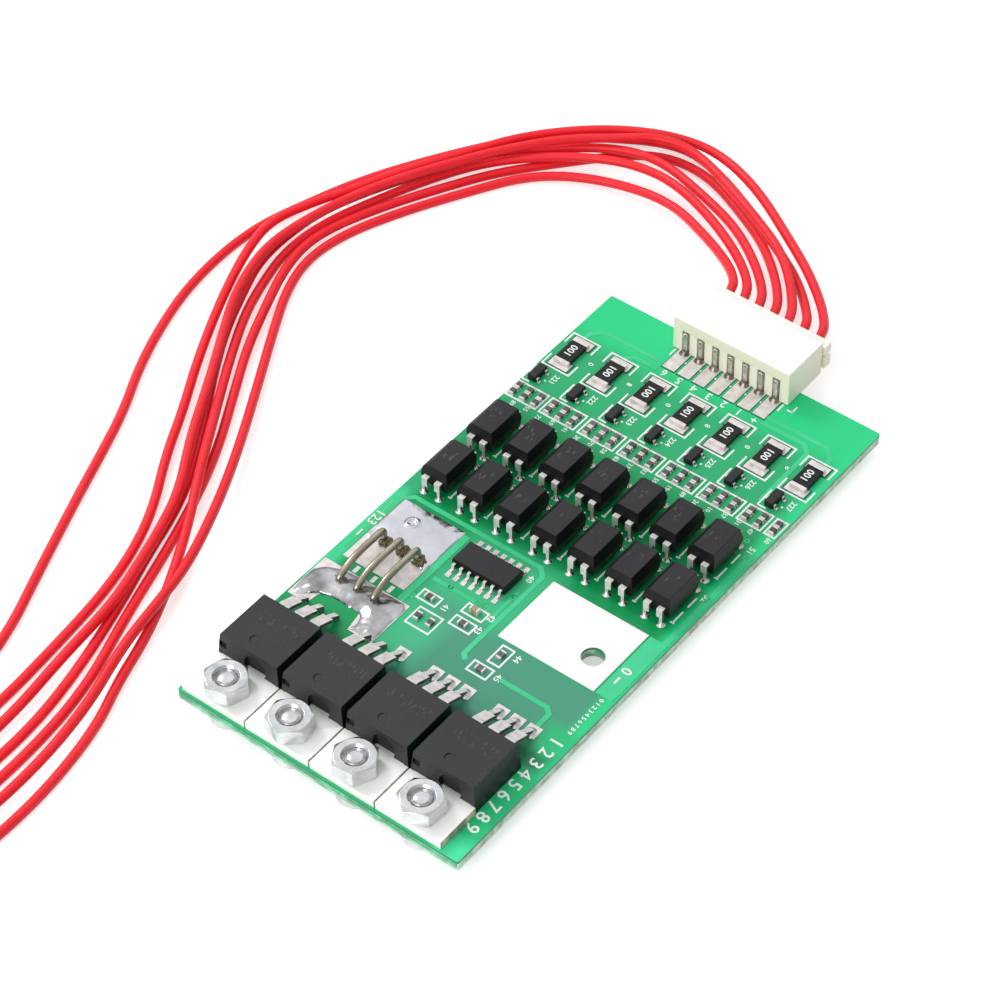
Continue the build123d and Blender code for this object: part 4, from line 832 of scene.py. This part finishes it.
class BOARD_OT_board(PieceOperator, bpy.types.Operator):
    """Finish the board with its tracks, its lines and its small pads"""

    bl_idname = "battery_board.board"
    bl_label = "Board and Pads"

    def build(self, look):
        for node, finish in self.DRESSED.items():
            dress(node, finish)

        gaps = bmesh.new()
        balance_pads = [(x, BALANCE_Y + side * BALANCE_END) for x in UNIT_X for side in (-1, 1)]
        add_bars(gaps, [(*spot, *self.BALANCE_GAP) for spot in balance_pads], self.GAP_HEIGHT)
        add_bars(gaps, [(x, WAY_PAD_Y, *self.WAY_GAP) for x in WAY_X], self.GAP_HEIGHT)
        finished(gaps, "pad_gaps", "lacquer_gap")

        fillets = bmesh.new()
        chip_ends = [(x, y + side * CHIP_END) for x, y in CHIP_PLACES for side in (-1, 1)]
        add_bars(fillets, [(*spot, *self.FILLET) for spot in chip_ends], self.FILLET_HEIGHT)
        finished(fillets, "chip_fillets", "tinned_pad")

        ring = turned(((0.16, 0.01), (0.2, 0.05), (0.38, 0.05), (0.42, 0.0), (0.16, 0.0)), 16, closed=True)
        finished(repeated(ring, [(x, y, 0.0) for x, y in self.VIAS]), "vias", "track_lacquer")

    DRESSED = {
        "circuit_board": "board_lacquer", "copper_tracks": "track_lacquer",
        "silkscreen_marks": "white_print", "load_terminal_pad": "load_pad",
        "battery_terminal_pad": "tinned_pad", "power_lead_pads": "tinned_pad", "chip_pads": "tinned_pad",
        "balance_pads": "tinned_pad", "connector_pads": "tinned_pad", "solder_joints": "solder",
    }
    # Widths and lengths, and heights, in millimetres
    BALANCE_GAP = (3.65, 2.05)
    WAY_GAP = (2.3, 5.3)
    GAP_HEIGHT = 0.02
    FILLET = (1.04, 0.44)
    FILLET_HEIGHT = 0.12
    VIAS = (
        (-5.97, -11.19), (1.6, -7.6), (0.0, -11.2), (6.9, -9.9), (-9.0, -15.2), (19.6, 18.6), (21.2, 16.0),
    )


class BOARD_OT_figures(PieceOperator, bpy.types.Operator):
    """Print the plain numbers, the signs and the corner marks"""

    bl_idname = "battery_board.figures"
    bl_label = "Printed Figures"

    def build(self, look):
        middle = PRINT_THICKNESS / 2
        over = OVER_COPPER + middle
        marks = [(str(6 - i), x, 37.4, middle, 180.0, 1.25) for i, x in enumerate(WAY_X[:-1])]
        marks.append(("+", WAY_X[-1], 37.4, middle, 180.0, 1.25))
        marks += [(str(221 + i), x + 1.15, 27.15, middle, -90.0, 0.85) for i, x in enumerate(UNIT_X)]
        marks += [("08"[i % 2], x + 3.3, 32.65, middle, -90.0, 0.8) for i, x in enumerate(UNIT_X[:-1])]
        chance = random.Random(5)
        for i in range(19):
            number = str(chance.randint(10, 89))
            column = UNIT_X[0] - 0.6 + UNIT_PITCH / 3 * i
            marks.append((number, column, 20.35 + chance.uniform(-0.3, 0.2), middle, -90.0, 0.7))
        marks += [(words, x, y, middle, -90.0, height) for words, x, y, height in self.ON_LACQUER]
        marks += [(words, x, y, over, -90.0, height) for words, x, y, height in self.ON_COPPER]
        whole = bmesh.new()
        add_figures(whole, marks)
        add_bars(whole, self.BARS, OVER_COPPER + PRINT_THICKNESS)
        dashes = [(x + 2.25, y - 2.72, 0.6, 0.22) for x in OPTO_X for y in OPTO_ROWS]
        dots = [(x + 1.25, 40.7, 0.22, 0.22) for x in WAY_X[:-1]]
        dots += [(x + 0.28, 26.3, 0.3, 0.3) for x in UNIT_X]
        add_bars(whole, dashes + dots, PRINT_THICKNESS)
        printed(whole, "printed_figures")

        tops = bmesh.new()
        height = 0.65 + middle
        add_figures(tops, [("100", x, BALANCE_Y, height, turn, 1.1) for x, turn in zip(UNIT_X, self.TURNS)])
        printed(tops, "resistor_figures")

    ON_LACQUER = (
        ("41", -4.38, -14.5, 0.9), ("42", 1.5, -12.3, 0.9), ("43", 1.45, -14.9, 0.9), ("44", 8.4, -15.7, 0.9),
        ("45", 8.35, -19.7, 0.9), ("51", 21.0, 17.4, 0.9), ("52", 21.2, 7.0, 0.9), ("60", 21.7, 20.2, 0.7),
        ("1 2 3 4 5 6 7 8 9", 20.5, -31.9, 1.9), ("0 1 2 3 4 5 6 7 8 9", 20.9, -18.0, 0.66),
        ("40", 1.3, -3.9, 0.9),
    )
    ON_COPPER = (("0", 20.5, -9.0, 1.5), ("123", -21.5, -7.5, 1.35))
    BARS = (
        (-21.5, -10.85, 0.28, 1.2), (20.5, -10.9, 0.28, 1.2), (10.4, 41.6, 0.9, 0.2), (10.8, 42.2, 0.22, 1.3),
    )
    TURNS = (90.0, -90.0, -90.0, 90.0, 90.0, -90.0, 90.0)


class BOARD_OT_solder(PieceOperator, bpy.types.Operator):
    """Flow the thick solder, the small joints on top and the burnt flux"""

    bl_idname = "battery_board.solder"
    bl_label = "Solder"

    def build(self, look):
        self.battery_terminal()
        self.source_pad()
        self.small_joints()
        self.flux()

    def battery_terminal(self):
        """Solder over the back of the battery terminal, scalloped between the sensing wires."""
        left, right, front, back = BATTERY_SOLDER

        def height_at(x, y):
            lobes = -10.4 - 0.9 * abs(math.cos(math.pi * (x + 16.45) / 2.85))
            depth = min(x - left, right - x, back - y, y - lobes)
            if depth <= 0.0:
                return 0.0
            ring = math.hypot(x + 16.8, y + 5.7)
            lump = 0.22 * math.exp(-((ring - 0.75) / 0.28) ** 2)
            return flowed(x, y, depth, foot=0.1, swell=0.32, run=1.2, wave=0.2, spread=0.35, ripple=0.035,
                          seed=2.0) + lump

        finished(relief(left, right, front, back, height_at), "battery_terminal_solder_visual", "solder",
                 "battery_terminal_solder", sharp=50.0)

    def source_pad(self):
        """The thin source pad and the heaped solder on it."""
        plate = bmesh.new()
        outline = plate.faces.new([plate.verts.new(place(x, y, 0.0)) for x, y in SOURCE_PAD])
        raised = bmesh.ops.extrude_face_region(plate, geom=[outline])["geom"]
        corners = only(bmesh.types.BMVert, raised)
        bmesh.ops.translate(plate, vec=(0.0, 0.0, 0.00008), verts=corners)
        bmesh.ops.recalc_face_normals(plate, faces=plate.faces)
        round_edges(finished(plate, "source_pad_visual", "tinned_pad"), 0.00003)

        def height_at(x, y):
            depth = inside_distance(x, y, SOURCE_SOLDER)
            if depth <= 0.0:
                return 0.0
            lump = sum(0.2 * math.exp(-((x - a) ** 2 + (y - b) ** 2) / 2.2) for a, b in SOURCE_HEAPS)
            return flowed(x, y, depth, foot=0.12, swell=0.4, run=0.9, wave=0.18, spread=0.3, ripple=0.04,
                          seed=7.0) + lump

        # The source solder's dark patches are partly stains and partly painted reflections.
        finished(relief(-22.2, -8.0, -24.9, -17.0, height_at), "source_solder_visual", "stained_solder",
                 "source_solder", sharp=50.0)

    def small_joints(self):
        """Domes of solder at the power leads, the optocouplers' feet and the connector's pins."""
        dome = turned(((0.0, 0.55), (0.3, 0.5), (0.5, 0.32), (0.75, 0.1), (0.95, 0.0), (0.0, -0.05)), 14)
        spots = [(x, POWER_LEAD_Y + 0.15, 0.1) for x in POWER_LEAD_X[5:]]
        finished(repeated(dome, spots), "power_lead_solder", "bright_solder")
        bead = turned(((0.0, 0.5), (0.25, 0.42), (0.42, 0.15), (0.62, 0.0), (0.0, -0.05)), 12)
        feet = [(x + side * OPTO_LEG_X, y + end * OPTO_LEG_Y, 0.0)
                for x in OPTO_X for y in OPTO_ROWS for side in (-1, 1) for end in (-1, 1)]
        finished(repeated(bead, feet), "optocoupler_solder", "bright_solder")
        lump = turned(((0.0, 0.6), (0.4, 0.5), (0.6, 0.2), (0.78, 0.0), (0.0, -0.05)), 14)
        finished(repeated(lump, [(x, PIN_Y - 0.35, 0.1) for x in WAY_X]), "connector_solder", "dull_solder")

    def flux(self):
        """Burnt flux round the ends of the sensing wires."""
        crumb = bmesh.new()
        bmesh.ops.create_icosphere(crumb, subdivisions=4, radius=0.82)
        for vert in crumb.verts:
            vert.co *= 1.0 + 0.5 * noise.noise(vert.co * 2.6) + 0.2 * noise.noise(vert.co * 6.0)
            vert.co.z *= 0.6
        back_ends = [(x + 0.3, SHUNT_BACK - 0.05, 0.35, 40.0 * i) for i, x in enumerate(SHUNT_X)]
        front_ends = [(x, SHUNT_FRONT + 0.35, 0.25, 75.0 * i) for i, x in enumerate(SHUNT_X)]
        finished(repeated(crumb, back_ends + front_ends), "burnt_flux_lumps", "burnt_flux", sharp=60.0)


class BOARD_OT_sensing_wires(PieceOperator, bpy.types.Operator):
    """Bend the three sensing wires"""

    bl_idname = "battery_board.sensing_wires"
    bl_label = "Sensing Wires"

    def build(self, look):
        bends = ((SHUNT_BACK, -1.6), (SHUNT_BACK, 1.0), (SHUNT_BACK, 2.3), (SHUNT_BACK - 1.6, 2.35),
                 (SHUNT_FRONT + 3.3, 2.3), (SHUNT_FRONT + 0.5, 1.2), (SHUNT_FRONT, 0.5), (SHUNT_FRONT, -1.6))
        lines = [[(x, y, z) for y, z in bends] for x in SHUNT_X]
        rounded_path("shunt_wires_visual", "bare_wire", lines, 0.5, 4, "shunt_wires")


class BOARD_OT_power_transistors(PieceOperator, bpy.types.Operator):
    """Build the four power transistors"""

    bl_idname = "battery_board.power_transistors"
    bl_label = "Power Transistors"

    def build(self, look):
        for number, x in enumerate(POWER_X, start=1):
            softened(f"power_transistor_tab_{number}", "tab_metal", 0.00008)
            body = merged_copy(f"power_transistor_body_{number}")
            self.sink_mark(body, place(x - 0.63, -36.1, BODY_HEIGHT))
            piece = finished(body, f"power_transistor_body_{number}_visual", "black_epoxy",
                             f"power_transistor_body_{number}", sharp=12.0)
            round_edges(piece, look.edge)
            softened(f"power_transistor_leads_{number}", "lead_metal", 0.00004)

    def sink_mark(self, shape, spot):
        """Press a shallow round mark into the top."""
        tops = [face for face in shape.faces
                if face.normal.z > 0.99 and abs(face.calc_center_median().z - spot.z) < 0.00001]
        rim = [edge for top in tops for edge in top.edges]
        bmesh.ops.delete(shape, geom=tops, context="FACES_ONLY")
        ring = bmesh.ops.create_circle(shape, segments=24, radius=SINK_RADIUS * MM,
                                       matrix=Matrix.Translation(spot))
        around = list({edge for vert in ring["verts"] for edge in vert.link_edges})
        bmesh.ops.triangle_fill(shape, edges=rim + around, use_beauty=True, normal=(0, 0, 1))
        sunk = bmesh.ops.extrude_edge_only(shape, edges=around)["geom"]
        low = only(bmesh.types.BMVert, sunk)
        bmesh.ops.scale(shape, vec=(0.88, 0.88, 1.0), space=Matrix.Translation(-spot), verts=low)
        bmesh.ops.translate(shape, vec=(0.0, 0.0, -SINK_DEPTH * MM), verts=low)
        floor = [edge for edge in only(bmesh.types.BMEdge, sunk) if all(vert in low for vert in edge.verts)]
        bmesh.ops.edgeloop_fill(shape, edges=floor)
        bmesh.ops.recalc_face_normals(shape, faces=shape.faces)


class BOARD_OT_fasteners(PieceOperator, bpy.types.Operator):
    """Fit the screws and the nuts"""

    bl_idname = "battery_board.fasteners"
    bl_label = "Screws and Nuts"

    def build(self, look):
        spots = [(x, SCREW_Y, TAB_THICKNESS, turn - 30.0) for x, turn in zip(POWER_X, NUT_TURNS)]
        nuts = finished(repeated(self.nut(), spots), "tab_nuts_visual", "zinc_steel", "tab_nuts", sharp=20.0)
        round_edges(nuts, 0.00005, angle=20.0)
        softened("tab_screws", "zinc_steel", 0.00025)
        ends = turned(((0.0, 0.16), (0.75, 0.14), (0.96, 0.06), (1.02, -0.05), (0.0, -0.05)), 28)
        spots = [(x, SCREW_Y, SCREW_END, 0.0) for x in POWER_X]
        finished(repeated(ends, spots), "screw_ends", "zinc_steel")
        # Thread grooves round each screw end, in the darker thread metal as painted shade in the bore.
        grooves = turned(((1.0, 0.02), (1.1, 0.1), (1.2, 0.03), (1.3, 0.14), (1.4, 0.05), (1.46, 0.16),
                          (1.48, -0.04), (1.0, -0.04)), 28, closed=True)
        finished(repeated(grooves, spots), "screw_grooves", "thread_metal", sharp=15.0)

    def nut(self):
        """A threaded ring, cut to six sides."""
        profile = [(NUT_CORNER - 0.5, 0.0), (NUT_CORNER, 0.28), (NUT_CORNER, NUT_HEIGHT - 0.3),
                   (NUT_CORNER - 0.55, NUT_HEIGHT), (NUT_BORE + 0.3, NUT_HEIGHT),
                   (NUT_BORE, NUT_HEIGHT - 0.3)]
        for i in range(int((NUT_HEIGHT - 0.4) / NUT_THREAD_PITCH)):
            level = NUT_HEIGHT - 0.3 - NUT_THREAD_PITCH * i
            profile.append((NUT_BORE - NUT_THREAD, level - NUT_THREAD_PITCH * 0.5))
            profile.append((NUT_BORE, level - NUT_THREAD_PITCH))
        profile.append((NUT_BORE, 0.0))
        nut = turned(profile, 48, closed=True)
        for side in range(6):
            angle = math.radians(60 * side)
            out = Vector((math.cos(angle), math.sin(angle), 0.0))
            cut = bmesh.ops.bisect_plane(nut, geom=nut.verts[:] + nut.edges[:] + nut.faces[:], dist=0.0001,
                                         plane_co=out * NUT_FLAT, plane_no=out, clear_outer=True)
            bmesh.ops.edgeloop_fill(nut, edges=only(bmesh.types.BMEdge, cut["geom_cut"]))
        bmesh.ops.recalc_face_normals(nut, faces=nut.faces)
        return nut


class BOARD_OT_optocouplers(PieceOperator, bpy.types.Operator):
    """Build the two rows of optocouplers"""

    bl_idname = "battery_board.optocouplers"
    bl_label = "Optocouplers"
    rounded = (
        ("optocoupler_bodies_far", "opto_epoxy", 0.00008), ("optocoupler_legs_far", "lead_metal", 0.00003),
        ("optocoupler_bodies_near", "opto_epoxy", 0.00008), ("optocoupler_legs_near", "lead_metal", 0.00003),
    )


class BOARD_OT_chip(PieceOperator, bpy.types.Operator):
    """Build the protection chip"""

    bl_idname = "battery_board.chip"
    bl_label = "Protection Chip"
    rounded = (("controller_chip", "opto_epoxy", 0.00006), ("controller_legs", "lead_metal", 0.00003))


class BOARD_OT_balance_units(PieceOperator, bpy.types.Operator):
    """Build the balance resistors and their transistors"""

    bl_idname = "battery_board.balance_units"
    bl_label = "Balance Units"
    rounded = (
        ("balance_resistors", "resistor_glaze", 0.00003), ("balance_resistor_ends", "tinned_pad", 0.00006),
        ("balance_transistors", "opto_epoxy", 0.00012), ("balance_transistor_legs", "lead_metal", 0.00003),
    )


class BOARD_OT_small_parts(PieceOperator, bpy.types.Operator):
    """Build the small chip resistors and the capacitor"""

    bl_idname = "battery_board.small_parts"
    bl_label = "Small Parts"
    rounded = (
        ("chip_resistors", "chip_glaze", 0.00002), ("chip_resistor_ends", "tinned_pad", 0.00004),
        ("chip_capacitor", "capacitor_body", 0.00004), ("chip_capacitor_ends", "tinned_pad", 0.00004),
    )


class BOARD_OT_connector(PieceOperator, bpy.types.Operator):
    """Build the header and the plug"""

    bl_idname = "battery_board.connector"
    bl_label = "Connector"

    def build(self, look):
        softened("connector_header", "connector_nylon", look.edge)
        softened("connector_plug", "connector_nylon", look.edge)
        softened("connector_pins", "contact_metal", 0.00006)
        bead = turned(((0.0, 0.34), (0.24, 0.24), (0.34, 0.0), (0.24, -0.24), (0.0, -0.34)), 12)
        finished(repeated(bead, [(x, PIN_Y - 0.25, 3.45) for x in WAY_X]), "pin_bends", "bright_solder")
        dress("connector_contacts", "contact_metal")


def world_range(tree, value, start, end, low, high):
    """A value that goes smoothly from low to high as another one goes from start to end."""
    made = add_node(tree, "ShaderNodeMapRange", {"Value": value, "From Min": start, "From Max": end,
                                                 "To Min": low, "To Max": high})
    made.interpolation_type = "SMOOTHSTEP"
    return made.outputs[0]


class BOARD_OT_stage(PieceOperator, bpy.types.Operator):
    """Set the floor, the lamps and the camera"""

    bl_idname = "battery_board.stage"
    bl_label = "Stage"

    def build(self, look):
        self.camera()
        self.floor(look)
        self.world()
        for name, spot, size, power in self.LAMPS:
            lamp = bpy.data.lights.new(name, "AREA")
            lamp.shape = "DISK"
            lamp.size = size
            lamp.energy = power
            holder = placed(name, lamp)
            holder.location = spot
            holder.rotation_euler = (-Vector(spot)).to_track_quat("-Z", "Y").to_euler()
        bpy.context.scene.view_settings.view_transform = "Standard"

    # Name, place in metres, size in metres and power in watts
    LAMPS = (("Key lamp", (-0.75, 0.1, 0.75), 0.3, 2.9), ("Fill lamp", (0.0, -0.8, 0.5), 0.5, 3.3))

    def camera(self):
        """The camera of the photograph."""
        lens = bpy.data.cameras.new("Camera")
        lens.lens = CAMERA_LENS
        lens.sensor_width = CAMERA_SENSOR
        lens.clip_start = 0.02
        lens.clip_end = 20.0
        right, down, forward = Vector(CAMERA_RIGHT), Vector(CAMERA_DOWN), Vector(CAMERA_FORWARD)
        turn = Matrix((right, -down, -forward)).transposed().to_4x4()
        camera = placed("Camera", lens)
        camera.matrix_world = Matrix.Translation(CAMERA_PLACE) @ turn
        bpy.context.scene.camera = camera

    def floor(self, look):
        """A plain round floor, which the camera and reflections see as white."""
        shape = bmesh.new()
        bmesh.ops.create_circle(shape, cap_ends=True, segments=64, radius=FLOOR_RADIUS)
        mesh = bpy.data.meshes.new("floor")
        shape.to_mesh(mesh)
        shape.free()
        material, tree, shader = new_material("floor_paper", Roughness=0.9, Specular_IOR_Level=0.0)
        shader.inputs["Base Color"].default_value = linear(look.floor)
        path = add_node(tree, "ShaderNodeLightPath")
        seen = maths(tree, "MAXIMUM", path.outputs["Is Camera Ray"], path.outputs["Is Glossy Ray"])
        seen = maths(tree, "MAXIMUM", seen, path.outputs["Is Transmission Ray"])
        shader.inputs["Emission Color"].default_value = (1.0, 1.0, 1.0, 1.0)
        tree.links.new(maths(tree, "MULTIPLY", seen, FLOOR_GLOW), shader.inputs["Emission Strength"])
        mesh.materials.append(material)
        placed("floor", mesh)

    def world(self):
        """White daylight, dimmer near the horizon and towards the right."""
        world = bpy.data.worlds.new("Studio")
        world.use_nodes = True
        bpy.context.scene.world = world
        tree = world.node_tree
        heading = add_node(tree, "ShaderNodeTexCoord").outputs["Generated"]
        rise = world_range(tree, axis(tree, heading, 2), 0.05, 0.5, 0.35, 1.0)
        towards_right = world_range(tree, axis(tree, heading, 0), -0.1, 0.8, 1.0, 0.5)
        sky = tree.nodes["Background"]
        sky.inputs["Color"].default_value = (1.0, 1.0, 1.0, 1.0)
        tree.links.new(maths(tree, "MULTIPLY", rise, towards_right), sky.inputs["Strength"])


OPERATORS = (
    BOARD_OT_stage, BOARD_OT_board, BOARD_OT_figures, BOARD_OT_solder, BOARD_OT_sensing_wires,
    BOARD_OT_power_transistors, BOARD_OT_fasteners, BOARD_OT_optocouplers, BOARD_OT_chip,
    BOARD_OT_balance_units, BOARD_OT_small_parts, BOARD_OT_connector, BOARD_OT_cell_leads,
)


class BOARD_PT_panel(bpy.types.Panel):
    """The board's operators and sizes in the sidebar"""

    bl_idname = "BOARD_PT_panel"
    bl_label = "Battery Board"
    bl_space_type = "VIEW_3D"
    bl_region_type = "UI"
    bl_category = "Battery Board"

    def draw(self, context):
        look = context.scene.battery_board
        for name in ("lacquer", "moulding", "nylon", "insulation", "floor", "edge", "lead_sides"):
            self.layout.prop(look, name)
        for operator in OPERATORS:
            self.layout.operator(operator.bl_idname)


CLASSES = (BatteryBoardLook, *OPERATORS, BOARD_PT_panel)


def register():
    """Register the classes and the board's settings."""
    for cls in CLASSES:
        bpy.utils.register_class(cls)
    bpy.types.Scene.battery_board = PointerProperty(type=BatteryBoardLook)


def unregister():
    """Take the settings and the classes away again."""
    del bpy.types.Scene.battery_board
    for cls in reversed(CLASSES):
        bpy.utils.unregister_class(cls)


def main():
    """Build every piece in order."""
    register()
    for operator in OPERATORS:
        group, name = operator.bl_idname.split(".")
        getattr(getattr(bpy.ops, group), name)()
    bpy.context.view_layer.update()


if __name__ == "__main__":
    main()
